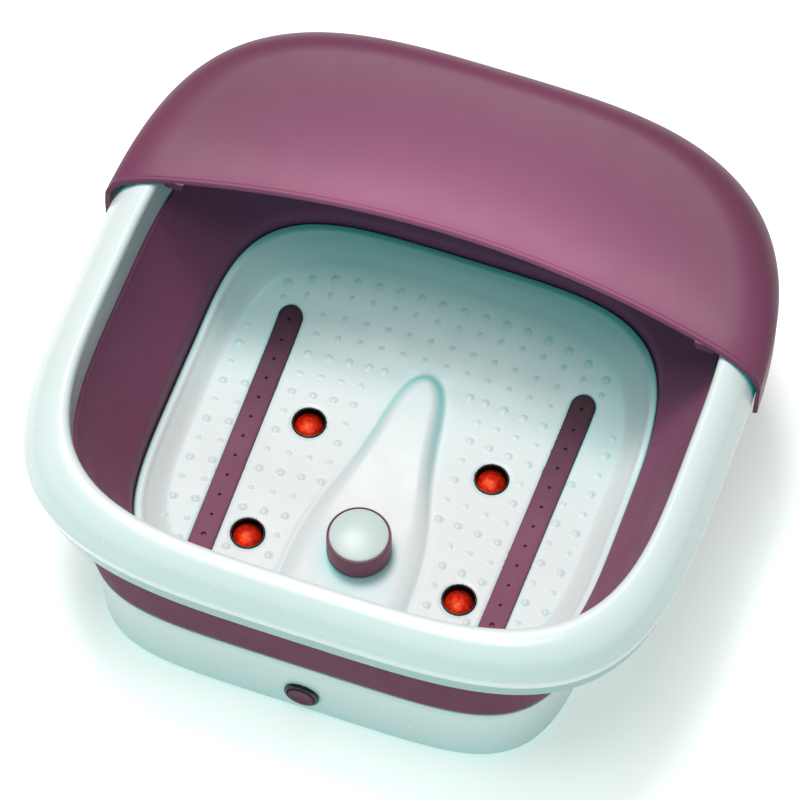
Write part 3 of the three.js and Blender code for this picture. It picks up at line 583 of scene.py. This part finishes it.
def soften(profile, radius, steps=4, closed=True):
    """Rounds the corners of a profile of 2-D or 3-D points; radius is one number or one for each."""
    points = [np.asarray(p, float) for p in profile]
    radii = radius if isinstance(radius, (list, tuple)) else [radius] * len(points)
    out = []
    for i, point in enumerate(points):
        if radii[i] == 0 or (not closed and i in (0, len(points) - 1)):
            out.append(point)
            continue
        before, after = points[i - 1] - point, points[(i + 1) % len(points)] - point
        reach = min(radii[i], 0.46 * np.linalg.norm(before), 0.46 * np.linalg.norm(after))
        start = point + before / np.linalg.norm(before) * reach
        end = point + after / np.linalg.norm(after) * reach
        for t in np.linspace(0, 1, steps + 1):
            out.append((1 - t) ** 2 * start + 2 * t * (1 - t) * point + t * t * end)
    return out


def make_mesh(name, points, faces, crease=32):
    mesh = bpy.data.meshes.new(name)
    place = (np.asarray(points, float) + (0, SHIFT_Y, 0)) * MM
    mesh.from_pydata(place.tolist(), [], faces)
    mesh.update()
    if signed_volume(mesh) < 0:
        mesh.flip_normals()
    return shade(mesh, crease)


def shade(mesh, crease):
    mesh.shade_smooth()
    mesh.set_sharp_from_angle(angle=math.radians(crease))
    return mesh


def signed_volume(mesh):
    solid = bmesh.new()
    solid.from_mesh(mesh)
    volume = solid.calc_volume(signed=True)
    solid.free()
    return volume


def add_piece(name, mesh, finish, node, body="housing"):
    """Piece that takes a CAD node's place, with the given finish."""
    piece = new_object(name, mesh)
    mesh.materials.clear()
    mesh.materials.append(finish)
    mesh.polygons.foreach_set("material_index", [0] * len(mesh.polygons))
    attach(piece, body)
    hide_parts(node)
    return piece


def combine(base, tools, operation, name, crease=32):
    """Mesh of base with the tool meshes cut away or joined on."""
    holder = new_object(name + "_work", base)
    helpers = []
    for tool in tools:
        helpers.append(new_object(name + "_tool", tool))
        modifier = holder.modifiers.new("cut", "BOOLEAN")
        modifier.operation = operation
        modifier.solver = "MANIFOLD"
        modifier.object = helpers[-1]
    bpy.context.view_layer.update()
    graph = bpy.context.evaluated_depsgraph_get()
    result = bpy.data.meshes.new_from_object(holder.evaluated_get(graph))
    result.name = name
    for helper in helpers + [holder]:
        bpy.data.objects.remove(helper)
    return shade(result, crease)


def turned(name, x, y, profile, sides=64, crease=32, axis="z"):
    """Solid turned from a closed or axis-to-axis profile of (radius, height)."""
    profile = [np.asarray(p, float) for p in profile]
    angles = np.linspace(0, 2 * math.pi, sides, endpoint=False)
    rings = []
    on_axis = profile[0][0] < 1e-6 and profile[-1][0] < 1e-6
    for radius, height in profile[1:-1] if on_axis else profile:
        around, depth = radius * np.cos(angles), np.full(sides, float(height))
        other = radius * np.sin(angles)
        if axis == "z":
            rings.append(np.column_stack([x + around, y + other, depth]))
        else:
            rings.append(np.column_stack([x + around, depth, y + other]))
    if not on_axis:
        return make_mesh(name, *rings_to_mesh(rings, joined=True), crease)
    tips = [[x, y, h] if axis == "z" else [x, h, y] for h in (profile[0][1], profile[-1][1])]
    points = np.vstack([*rings, tips])
    faces = grid_faces(len(rings), sides, wrap_columns=True)
    first, last, start = len(points) - 2, len(points) - 1, (len(rings) - 1) * sides
    for i in range(sides):
        j = (i + 1) % sides
        faces += [[first, j, i], [last, start + i, start + j]]
    return make_mesh(name, points, faces, crease)


def rod(name, x, y, radius, low, high, sides=48, axis="z"):
    return turned(name, x, y, [(0, low), (radius, low), (radius, high), (0, high)], sides, axis=axis)


def box_mesh(name, low, high):
    """Plain box, used only to cut with or to build on."""
    (x0, y0, z0), (x1, y1, z1) = low, high
    ring = [(x0, y0), (x1, y0), (x1, y1), (x0, y1)]
    return make_mesh(name, *rings_to_mesh([level(ring, z) for z in (z0, z1)]))


# ---- housing
def screw_boss(x, y):
    """Boss over a cover screw and the web that ties it to the nearer wall."""
    floor = COVER_Z + COVER_THICK + GAP
    profile = [(0, floor), (BOSS["radius"], floor), (BOSS["radius"] - 0.4, BOSS["top"]), (0, BOSS["top"])]
    if abs(x) > 100:
        end, across, along = (math.copysign(BASE["half"] - 1, x), y), 0, 1
    else:
        end, across, along = (x, -BASE["front"] + 1), 1, 0
    low = (min(x, end[0]) - across, min(y, end[1]) - along, floor)
    high = (max(x, end[0]) + across, max(y, end[1]) + along, BOSS["web_top"])
    return turned("boss", x, y, soften(profile, 0.5), 32), box_mesh("web", low, high)


def base_shell():
    """White lower housing: drafted wall, rounded foot and a ledge under the plum band."""
    profile = [
        (BASE, 1.6, BASE_Z), (BASE, 0.55, BASE_Z + 0.6), (BASE, 0.1, BASE_Z + 1.8), (BASE, 0, BASE_Z + 3.4),
        (BASE, -0.4, 14), (BASE, -1.25, 34), (BASE_KNEE, 0, 50), (BASE_KNEE, -0.3, 52),
        (BASE_TOP, 0.1, BASE_TOP_Z - 1.4), (BASE_TOP, 0.35, BASE_TOP_Z - 0.5),
        (BASE_TOP, 1.0, BASE_TOP_Z), (BASE_TOP, SKIN, BASE_TOP_Z),
        (BASE_KNEE, SKIN, 51), (BASE, SKIN, BASE_Z + 3), (BASE, SKIN, BASE_Z),
    ]
    rings = [level_ring(shape, inset, z) for shape, inset, z in profile]
    shell = make_mesh("shell", *rings_to_mesh(rings, joined=True))
    bosses, webs = zip(*(screw_boss(x, y) for x, y in SCREWS))
    whole = combine(shell, [*bosses, *webs], "UNION", "base_union")
    cuts = [rod("bore", x, y, BOSS["bore"], 0, BOSS["top"] - 3, 24) for x, y in SCREWS]
    button_hole = [(0, -176), (10.6, -176), (10.6, -163.0), (9.3, -161.4), (9.3, -150), (0, -150)]
    cuts.append(turned("hole", 0, BUTTON_Z, button_hole, 64, axis="y"))
    cuts.append(rod("hole", GLAND["x"], GLAND["z"], GLAND["bore"], 138, 170, 48, axis="y"))
    mesh = combine(whole, cuts, "DIFFERENCE", "base_housing")
    add_piece("base_housing", mesh, BASE_WHITE_PAINTED_SHADE, "base_shell")


def mid_band():
    """Plum band that flares from the base up into the rim."""
    profile = [(BASE_TOP, 0.9, BASE_TOP_Z + 0.3), (BASE_TOP, 0.35, BASE_TOP_Z + 0.9)]
    wall = [(BASE_TOP, 0, BASE_TOP_Z + 2), (BAND_TOP, 0, BAND_TOP_Z)]
    low, high = (level_ring(shape, inset, z) for shape, inset, z in wall)
    rings = [level_ring(*row) for row in profile]
    rings += [low + (high - low) * t for t in (0, 0.06, 0.25, 0.5, 0.75, 0.94, 1)]
    rings += [level_ring(RIM, BAND_RISE_INSET + more, BAND_RISE_Z) for more in (0, SKIN)]
    inner_low = level_ring(BASE_TOP, SKIN, BASE_TOP_Z + 0.3)
    inner_high = level_ring(BAND_TOP, SKIN, BAND_TOP_Z)
    rings += [inner_high, (inner_low + inner_high) / 2, inner_low]
    mesh = make_mesh("plum_band", *rings_to_mesh(rings, joined=True))
    add_piece("plum_band", mesh, BAND_PLUM_PAINTED_SHADE, "mid_band")


def spline(points, steps):
    """Smooth curve through the points (Catmull-Rom)."""
    p = [np.asarray(q, float) for q in points]
    p = [2 * p[0] - p[1]] + p + [2 * p[-1] - p[-2]]
    out = []
    for i in range(1, len(p) - 2):
        for t in np.arange(steps) / steps:
            a, b, c, d = p[i - 1], p[i], p[i + 1], p[i + 2]
            out.append(0.5 * (2 * b + (c - a) * t + (2 * a - 5 * b + 4 * c - d) * t * t
                              + (3 * b - a - 3 * c + d) * t ** 3))
    return out + [p[-2]]


def rim_ring():
    """Rolled rim: a lip that turns in below, a rounded crest and a straight inner wall."""
    lip = soften([(6.3, LIP_Z + 0.4), (5.2, LIP_Z), (4.3, LIP_Z + 0.8), (2.3, 108.6), (1.5, 110.8),
                  (0.3, 116.8), (0, 119.0), (0.7, 121)], [0, 0.7, 0.7, 1.2, 1.2, 2, 1.2, 0], closed=False)
    crest = spline([(0.7, 121), (1.9, 124), (6.2, 130.2), (12.8, 134.7), (18.6, 136.25), (21.6, 135.7),
                    (23.1, 133.6), (23.45, 130.5), (23.75, 122)], 5)
    wall = soften([(23.75, 122), (24.2, 109.2), (23.7, BASIN_TOP_Z + GAP), (21.6, BASIN_TOP_Z + GAP),
                   (20.8, 131.9), (13, 130.9), (5.4, 122.6), (5.0, 111)],
                  [0, 0.5, 0.5, 0.4, 1.5, 2, 2, 0], closed=False)
    section = lip[:-1] + crest[:-1] + wall
    rings = [level_ring(RIM, inset, z) for inset, z in section]
    mesh = make_mesh("rolled_rim", *rings_to_mesh(rings, joined=True), crease=40)
    add_piece("rolled_rim", mesh, RIM_WHITE, "rim_ring")


# ---- basin and foot bed
def bed_ring(scale, drop, offset=0.0):
    """Ring of the basin's floor, which runs flat under the foot bed's ridge."""
    x, y = outline(BED, ROUND, 0, scale).T
    place = outline(BED, ROUND, offset, scale)
    return np.column_stack([place, floor_height(x, y) - drop])


def step_ring(offset, drop):
    """Ring along the step above the foot bed."""
    height = edge_height(outline(BED, ROUND)[:, 1], STEP_Z)
    return np.column_stack([outline(BED, ROUND, offset), height - drop])


def stretch(ring, scale, drop=0.0):
    return ring * (scale, scale, 1) - (0, 0, drop)


def inner_basin():
    """Plum liner: a flanged mouth, sloping walls, a rounded step and a drop to the foot bed."""
    drop = SKIN + GAP
    inside = [bed_ring(s, drop) for s in BED_RINGS]
    foot, step = bed_ring(1, drop, 0.8), step_ring(1.4, 0)
    mouth = level_ring(RIM, BASIN_INSET, BASIN_TOP_Z)
    wall = [stretch(step + (mouth - step) * t, 1 + bulge / 160) for t, bulge in LINER_WALL]
    crown = [foot + (step - foot) * t for t in (0, 0.5, 0.9)]
    crown.append(stretch(step, 1 + 0.25 / BED["half"], 0.35))
    edge = [level_ring(RIM, BASIN_INSET + more, BASIN_TOP_Z - drop_z)
            for more, drop_z in ((0.12, 1.2), (-0.1, 0.3), (-0.7, 0))]
    outer = [level_ring(RIM, BASIN_INSET - SKIN, BASIN_TOP_Z), step_ring(1.4 + SKIN, 1.2),
             bed_ring(1, drop + SKIN, 0.8 + SKIN)]
    under = [bed_ring(s, drop + SKIN - 0.5) for s in BED_RINGS[::-1]]  # thinner, over the weight
    rings = inside + crown + wall + edge + outer + under
    bowl = make_mesh("bowl", *rings_to_mesh(rings))
    cuts = [rod("hole", x, y, LAMP_RADIUS + GAP, 10, 40, 48) for x, y in LAMPS.values()]
    cuts += [rod("hole", side * AIR_INLET["x"], AIR_INLET["y"], AIR_INLET["bore"], 10, 40, 32)
             for side in (-1, 1)]
    mesh = combine(bowl, cuts, "DIFFERENCE", "basin_liner")
    add_piece("basin_liner", mesh, LINER, "inner_basin")


def bed_surface(x, y):
    """Top of the foot bed with its flat lip, nubs and the eased edges of its openings."""
    reach = outline_reach(BED, x, y)
    height = bed_height(x, y)
    lip = smooth((reach - BED_EDGE["lip"]) / BED_EDGE["lip_run"])
    height = height * (1 - lip) + edge_height(y, BED_EDGE_Z) * lip
    for nub_x, nub_y, radius, tall in massage_nubs():
        away = np.hypot(x - nub_x, y - nub_y)
        near = away < radius * 1.6
        q = np.clip(away[near] / radius, 0, 1)
        dimple = np.exp(-((away[near] - radius * 1.12) / 0.5) ** 2) * 0.07
        height[near] += tall * (1 - q * q) ** 1.5 * (1 + 0.6 * q * q) - dimple
    for lamp_x, lamp_y in LAMPS.values():
        away = np.hypot(x - lamp_x, y - lamp_y) - LAMP_RADIUS
        height -= 0.45 * np.exp(-(np.maximum(away, 0) / 0.9) ** 2)
    height -= 0.40 * np.exp(-(np.maximum(strip_distance(x, y), 0) / 0.9) ** 2)
    height -= ridge_groove(x, y)
    return height


def bed_plan(columns, rows):
    """Plan places of a grid that is pulled from a square into the bed's outline."""
    u, v = np.meshgrid(np.linspace(-1, 1, columns), np.linspace(-1, 1, rows))
    size = np.maximum(np.maximum(np.abs(u), np.abs(v)), 1e-9)
    n, reach = by_side(BED, v >= 0)
    pull = (np.abs(u / size) ** n + np.abs(v / size) ** n) ** (-1 / n) * (1 - 0.7 / BED["half"])
    return (u * pull * BED["half"]).ravel(), (v * pull * reach).ravel()


def foot_bed():
    """White foot bed on a fine grid, with real openings for lamps and strips."""
    columns, rows = BED_GRID
    x, y = bed_plan(columns, rows)
    top = np.column_stack([x, y, bed_surface(x, y)])
    index = np.arange(rows * columns).reshape(rows, columns)
    loop = np.concatenate([index[0, :-1], index[:-1, -1], index[-1, :0:-1], index[:0:-1, 0]])
    rings = [stretch(top[loop], scale, drop) for scale, drop in BED_BORDER]
    for scale in BED_UNDERSIDE:
        place = top[loop, :2] * scale
        rings.append(np.column_stack([place, floor_height(*place.T) - SKIN]))
    faces = grid_faces(rows, columns)
    previous = loop
    for k in range(len(rings)):
        current = len(top) + k * len(loop) + np.arange(len(loop))
        faces += np.stack([np.roll(previous, -1), previous, current, np.roll(current, -1)], -1).tolist()
        previous = current
    faces.append(previous[::-1].tolist())
    bed = make_mesh("bed", np.vstack([top, *rings]), faces)
    radius, low, top_z = POST["radius"], POST["low"], POST["top"]
    profile = soften([(0, low), (radius, low), (radius, top_z), (0, top_z)], [0, 0, 0.8, 0])
    post = turned("post", PAD["x"], PAD["y"], profile, 48)
    cuts = [rod("hole", lx, ly, LAMP_RADIUS + 0.1, 10, 40, 96) for lx, ly in LAMPS.values()]
    cuts += [strip_cutter(side) for side in (-1, 1)]
    cut = combine(bed, cuts, "DIFFERENCE", "bed_cut", 45)
    mesh = combine(cut, [post], "UNION", "foot_bed_top", 75)
    add_piece("foot_bed_top", mesh, BED_WHITE, "foot_bed")


# ---- bubble strips
def strip_stations(grow, count):
    """(y, centre x, half width) along a strip with round ends."""
    half = STRIP["half"] + grow
    front, back = STRIP["front_y"] - grow, STRIP["back_y"] + grow
    ease = (1 - np.cos(np.linspace(0, math.pi / 2, 14))) * half
    middle = np.linspace(front + half, back - half, count)
    ys = np.concatenate([front + ease, middle[1:-1], (back - ease)[::-1]])
    ys = np.clip(ys, front + 0.02, back - 0.02)
    inset = np.maximum(np.maximum(front + half - ys, ys - (back - half)), 0)
    return ys, strip_centre(ys), np.sqrt(np.maximum(half * half - inset * inset, 0))


def strip_cutter(side):
    ys, centre, wide = strip_stations(0.12, 60)
    corners = [(-1, 10), (1, 10), (1, 60), (-1, 60)]
    rings = [[(side * x + way * w, y, z) for way, z in corners] for y, x, w in zip(ys, centre, wide)]
    return make_mesh("slot", *rings_to_mesh(rings))


def bubble_strip(side, side_name):
    """Plum strip with softened edges and a row of air holes down its middle."""
    ys, centre, wide = strip_stations(-0.02, 110)
    half = [(1, -1.5), (1, -0.6), (1, 0.55), (0.985, 0.85), (0.95, 1.05), (0.88, 1.17), (0.6, 1.22)]
    profile = half + [(-q, h) for q, h in half[::-1]]
    rings = []
    for y, x, w in zip(ys, centre, wide):
        places = [(side * x + q * w, h) for q, h in profile]
        rings.append([(px, y, float(bed_height(px, y)) + h) for px, h in places])
    bar = make_mesh("bar", *rings_to_mesh(rings))
    nipple = rod("nipple", side * AIR_INLET["x"], AIR_INLET["y"], AIR_INLET["nipple"], 16.5, FLOOR_Z - 1, 32)
    whole = combine(bar, [nipple], "UNION", "bar_union")
    holes = []
    for k in range(AIR_HOLES["count"]):
        y = AIR_HOLES["first_y"] + AIR_HOLES["pitch"] * k
        radius = AIR_HOLES["radius" if k else "first_radius"]
        x = side * float(strip_centre(y))
        z = float(bed_height(x, y))
        holes.append(turned("air", x, y, [(0, z - 0.6), (radius * 0.8, z - 0.6), (radius, z + 0.9),
                                          (radius + 0.5, z + 1.6), (radius + 0.5, z + 3), (0, z + 3)], 20))
    mesh = combine(whole, holes, "DIFFERENCE", f"air_strip_{side_name}", 45)
    add_piece(f"air_strip_{side_name}", mesh, STRIP_PLUM, f"bubble_strip_{side_name}")


# ---- lamps
def arc(radius, base, rise, start, count):
    return [(radius * math.cos(t), base + rise * math.sin(t)) for t in np.linspace(start, 1.5, count)]


def lamp(key, x, y):
    """Black ring with a dished inside, a recessed red lens and the lamp under it."""
    ring = soften([(8.5, 17.5), (9.95, 17.5), (9.95, 26.2), (9.3, 26.55), (8.9, 26.2), (8.5, 21.8)],
                  [0, 0, 0.35, 0.3, 0.3, 0.3])
    add_piece(f"lamp_ring_{key}", turned("ring", x, y, ring, 72, 40), BLACK, f"lamp_bezel_{key}")
    dome = [(0, 19.6), (8.3, 19.6), (8.3, 21.8), *arc(8.3, 21.8, 3.5, 0.12, 12), (0, 25.3)]
    add_piece(f"lamp_dome_{key}", turned("dome", x, y, dome, 64, 40), LENS, f"lamp_lens_{key}")
    bulb = [(0, 13), (3.4, 13), (3.4, 14), (2.5, 14), *arc(2.5, 16.6, 2.4, 0, 8), (0, 19)]
    add_piece(f"lamp_bulb_{key}", turned("bulb", x, y, bulb, 32, 40), LENS, f"lamp_led_{key}")


# ---- massage attachment
def attachment():
    x, y, radius = PAD["x"], PAD["y"], PAD["radius"]
    low, rim = PAD["bottom"], PAD["rim"]
    collar = soften([(7.6, low), (radius - 0.2, low), (radius + 0.0, low + 1), (radius - 0.1, rim - 0.4),
                     (radius - 0.5, rim + 0.5), (radius - 0.95, rim + 0.4), (radius - 1.0, rim - 1.6),
                     (1.5, rim - 1.6), (1.5, rim - 3.4), (7.6, rim - 3.4)],
                    [0.3, 0.5, 0.5, 0.4, 0.3, 0.2, 0.3, 0.3, 0.3, 0.5])
    add_piece("attachment_ring", turned("collar", x, y, collar, 112, 40), PLUM,
              "attachment_collar", "attachment")
    reach = radius - 1.5
    pad = [(0, rim - 1.3), (reach, rim - 1.3), (reach, rim + 0.15), (reach - 0.35, rim + 0.75),
           (reach - 1.0, rim + 1.05)]
    for t in np.linspace(0.06, 1, 16):
        pad.append(((reach - 1.0) * (1 - t), rim + 1.05 + 2.3 * (1 - (1 - t) ** 2.2)))
    pad[-1] = (0, pad[-1][1])
    add_piece("attachment_dome", turned("pad", x, y, pad, 96, 40), PEARL,
              "attachment_pad", "attachment")


# ---- splash guard
def guard_front_y(x, z):
    lean = GUARD_FRONT["lean"] * np.maximum(GUARD["front"] - z, 0)
    return GUARD_FRONT["y"] - GUARD_FRONT["bow"] * x * x - lean


def guard_height(x, y, inset):
    back = smooth((y - guard_front_y(x, GUARD["front"])) / GUARD["climb"])
    side = 1 - GUARD["sag"] * np.abs(x / RIM["half"]) ** 3
    roof = GUARD["front"] + (GUARD["top"] - GUARD["front"]) * back * side
    roll = np.minimum(inset / GUARD["roll"], 1)
    return GUARD["wall"] + (roof - GUARD["wall"]) * np.sqrt(1 - (1 - roll) ** 2)


def guard_face(angles, thickness):
    """One face of the guard: columns from the skirt's edge, over the roll, in to the front edge."""
    offset = GUARD_REACH - thickness
    place = outline(RIM, angles, offset)
    x, y = place[:, :1], place[:, 1:]
    z = GUARD["skirt"] + np.linspace(0, 1, 9)[None, :] * (GUARD["wall"] - GUARD["skirt"])
    wall = np.stack([x + 0 * z, np.maximum(y, guard_front_y(x, z)), z + 0 * x], -1)
    front_x = x * 0.985
    front_y = guard_front_y(front_x, GUARD["front"])
    start_y = np.maximum(y, guard_front_y(x, GUARD["wall"]))
    run = np.hypot(front_x - x, front_y - start_y)
    margin = np.minimum(BEAD_REACH / run, 0.4)
    t = np.linspace(0, 1, 60)[None, 1:] ** 1.7 * (1 - margin)
    t = np.concatenate([t, np.ones_like(run)], 1)
    px = x + (front_x - x) * t
    py = start_y + (front_y - start_y) * t
    inset = (1 - outline_reach(RIM, px, np.maximum(py, 0), offset)) * (RIM["half"] + offset)
    pz = guard_height(px, py, np.maximum(inset, 0)) - thickness
    return np.concatenate([wall, np.stack([px, py, pz], -1)], 1)


def front_bead(outer, inner):
    """Outer column with a low bead along the front edge and a round nose."""
    along = outer[-1] - outer[-2]
    scale = np.linalg.norm(along) / BEAD_REACH
    bead = [outer[-1] - along * back + (0, 0, rise * scale)
            for back, rise in ((0.92, 0), (0.80, 0.12), (0.64, 0.6), (0.4, 0.78), (0.14, 0.6), (0, 0.1))]
    nose = (outer[-1] + inner[-1]) / 2 + (0, -0.8, 0)
    low = inner[-1] * 0.7 + nose * 0.3 + (0, -0.25, -0.1)
    return np.vstack([outer[:-1], bead, [nose, low]])


def clip_tab(x):
    """Tapered tab that hangs from the guard's front edge beside the rim."""
    y = float(guard_front_y(x, GUARD["front"]))
    rings = []
    for z, half, front in ((132.6, 4.2, -0.2), (133.1, 4.7, -0.7), (137.4, 6.0, -0.9), (139.2, 6.2, -0.5)):
        corners = [(-half, front), (half, front), (half, 2.4), (-half, 2.4)]
        rings.append([(x + across, y + along, z) for across, along in corners])
    return make_mesh("tab", *rings_to_mesh(rings))


def splash_guard():
    """Plum hood: thin shell with a rolled back, a rounded front edge and two clip tabs."""
    reach_y = float(guard_front_y(RIM["half"], GUARD["skirt"])) + 1
    tip = math.asin((reach_y / (RIM["back"] + GUARD_REACH)) ** (RIM["square_back"] / 2))
    angles = even_angles(RIM, tip, math.pi - tip, 180)
    outer, inner = guard_face(angles, 0.0), guard_face(angles, GUARD["skin"])
    rings = [np.vstack([front_bead(o, i), i[::-1], [(o[0] + i[0]) / 2 - (0, 0, 0.5)]])
             for o, i in zip(outer, inner)]
    shell = make_mesh("shell", *rings_to_mesh(rings), crease=40)
    tabs = [clip_tab(side * TAB_X) for side in (-1, 1)]
    mesh = combine(shell, tabs, "UNION", "guard_hood", 40)
    add_piece("guard_hood", mesh, HOOD_PLUM_PAINTED_LIGHT, "splash_guard", "guard")


# ---- function button
def function_button():
    z = BUTTON_Z
    face = WALL_Y - 3.0
    cap = [(0, face + 0.5)]
    cap += [(5.6 * t, face + 0.5 - 0.35 * t * t) for t in np.linspace(0.1, 1, 8)]
    cap += soften([(6.2, face), (7.4, face + 0.15), (7.8, face + 0.9), (7.8, WALL_Y + 3.8),
                   (9.4, WALL_Y + 3.8), (9.4, WALL_Y + 5.2), (2, WALL_Y + 5.2), (2, STEM_END)],
                  [0.3, 0.5, 0.5, 0.3, 0.3, 0.3, 0.3, 0.2], closed=False)
    cap += [(0, STEM_END)]
    add_piece("button_cap", turned("cap", 0, z, cap, 80, 40, "y"), BUTTON_PLUM,
              "function_button", "button")
    bezel = soften([(8.1, WALL_Y - 1.9), (8.6, WALL_Y - 2.3), (9.4, WALL_Y - 2.2), (10.35, WALL_Y - 1.3),
                    (10.35, WALL_Y - 0.8), (9.1, WALL_Y - 0.4), (9.1, WALL_Y + 3), (8.1, WALL_Y + 3)],
                   [0.3, 0.3, 0.5, 0.3, 0.2, 0.2, 0.2, 0.2])
    add_piece("button_ring", turned("bezel", 0, z, bezel, 80, 40, "y"), BLACK, "button_bezel")


def button_spring():
    """Coil that pushes the button out and shortens as the button goes in; here it is built at one length."""
    turns, steps, sides = SPRING["turns"], 96, 12
    angle = np.linspace(0, 2 * math.pi * turns, steps + 1)
    along = SPRING["start"] + (SPRING["end"] - SPRING["start"]) * angle / angle[-1]
    around = np.linspace(0, 2 * math.pi, sides, endpoint=False)
    rings = []
    for turn, y in zip(angle, along):
        reach = SPRING["radius"] + SPRING["wire"] * np.cos(around)
        rings.append(np.column_stack([reach * math.cos(turn), y + SPRING["wire"] * np.sin(around),
                                      BUTTON_Z + reach * math.sin(turn)]))
    mesh = make_mesh("coil_spring", *rings_to_mesh(rings), crease=60)
    piece = add_piece("coil_spring", mesh, STEEL, "button_spring")
    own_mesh(piece)


# ---- underside
def bottom_cover():
    """Plate with vent slots, ribs and recesses round the screws."""
    low, top = COVER_Z, COVER_Z + COVER_THICK
    edge = outline(BASE, ROUND, -SKIN - 0.6)
    rings = [level(edge * scale, z)
             for scale, z in ((0.9, low), (0.994, low), (1, low + 0.6), (1, top), (0.9, top))]
    plate = make_mesh("plate", *rings_to_mesh(rings))
    ribs = [box_mesh("rib", (x - 0.8, -120, low - 0.7), (x + 0.8, 60, low + 0.5))
            for x in (-70, -35, 0, 35, 70)]
    whole = combine(plate, ribs, "UNION", "plate_ribbed")
    cuts = [rod("hole", x, y, BOSS["bore"], 0, 10, 24) for x, y in SCREWS]
    cuts += [rod("hole", x, y, 3.3, 0, 10, 32) for x, y in FEET]
    cuts += [rounded_slot(x, 96, 1.4, 13) for x in (*range(-76, -19, 7), *range(40, 83, 7))]
    mesh = combine(whole, cuts, "DIFFERENCE", "base_plate")
    add_piece("base_plate", mesh, WHITE, "bottom_cover")


def rounded_slot(x, y, half, reach):
    ends = np.linspace(0, math.pi, 13)
    ring = [(x + way * half * math.cos(t), y + way * (reach + half * math.sin(t)))
            for way in (1, -1) for t in ends]
    return make_mesh("slot", *rings_to_mesh([level(ring, z) for z in (-2, 12)]))


def feet_and_screws():
    under = COVER_Z - GAP
    for i, (x, y) in enumerate(FEET, 1):
        pad = soften([(0, 0.9), (6.5, 0.9), (7.2, 0), (10, 0), (11, 0.9), (11, under), (3, under),
                      (3, 6.2), (0, 6.2)], [0, 0.3, 0.3, 0.4, 0.4, 0.3, 0.2, 0.5, 0])
        add_piece(f"foot_pad_{i}", turned("foot", x, y, pad, 56), RUBBER, f"rubber_foot_{i}")
    for i, (x, y) in enumerate(SCREWS, 1):
        body = [(0, 1.0), (3.0, 0.8), (3.6, 1.2), (3.6, under), (1.7, under)]
        for k in range(9):
            z = COVER_Z + 0.2 + k * 1.25
            body += [(1.35, z), (1.75, z + 0.6)]
        body += [(1.2, 14.4), (0, 15)]
        screw = turned("screw", x, y, body, 28)
        cross = [box_mesh("cross", (x - a, y - b, 0), (x + a, y + b, 1.7)) for a, b in ((2, 0.35), (0.35, 2))]
        mesh = combine(screw, cross, "DIFFERENCE", f"screw_{i}")
        add_piece(f"screw_{i}", mesh, STEEL, f"cover_screw_{i}")


def cord_gland():
    """Ribbed black grommet in the back wall, with an open bore."""
    wall = BASE["back"] - 0.5
    profile = soften([(3.6, wall - 10), (6, wall - 10), (6, wall - 8), (9, wall - 8), (9, wall - 5.6),
                      (6, wall - 5.6), (6, wall + 1.2), (5.2, wall + 2), (3.6, wall + 2)],
                     [0.3, 0.3, 0.2, 0.3, 0.3, 0.2, 0.4, 0.4, 0.4])
    grommet = turned("gland", GLAND["x"], GLAND["z"], profile, 56, 40, "y")
    add_piece("gland_grommet", grommet, BLACK, "cord_gland")


# ---- carried-over working parts
def dress_working_parts():
    """Gives every CAD node that still shows its finish and softened edges."""
    for name, node in frame["nodes"].items():
        if node.hide_render:
            continue
        node.data.materials.clear()
        node.data.materials.append(FINISH[SLOTS[name]])
        node.modifiers.new("joined", "WELD").merge_threshold = 1e-6
        bevel = node.modifiers.new("softened", "BEVEL")
        bevel.width = EASED_EDGE * MM
        bevel.segments = 2
        bevel.limit_method = "ANGLE"
        bevel.angle_limit = math.radians(40)


# ---- floor
def add_floor():
    """Pale paper floor, slightly bright of its own so that it stays pale far from the lights."""
    material, tree, shader = new_material("floor")
    paper = ramp(tree, noise(tree, 40, 3), (0.90, 0.905, 0.90), (0.915, 0.92, 0.915))
    set_inputs(shader, {"Base Color": paper, "Roughness": 0.9, "Emission Color": FLOOR_GLOW,
                        "Emission Strength": 0.45})
    mesh = bpy.data.meshes.new("floor")
    corners = [(x * FLOOR_HALF, y * FLOOR_HALF, FLOOR_DROP) for x, y in ((-1, -1), (1, -1), (1, 1), (-1, 1))]
    mesh.from_pydata(corners, [], [(0, 1, 2, 3)])
    mesh.materials.append(material)
    new_object("floor", mesh)


add_camera()
add_studio()
base_shell()
mid_band()
rim_ring()
inner_basin()
foot_bed()
bubble_strip(-1, "left")
bubble_strip(1, "right")
for lamp_key, (lamp_x, lamp_y) in LAMPS.items():
    lamp(lamp_key, lamp_x, lamp_y)
attachment()
splash_guard()
function_button()
button_spring()
bottom_cover()
feet_and_screws()
cord_gland()
dress_working_parts()
add_floor()
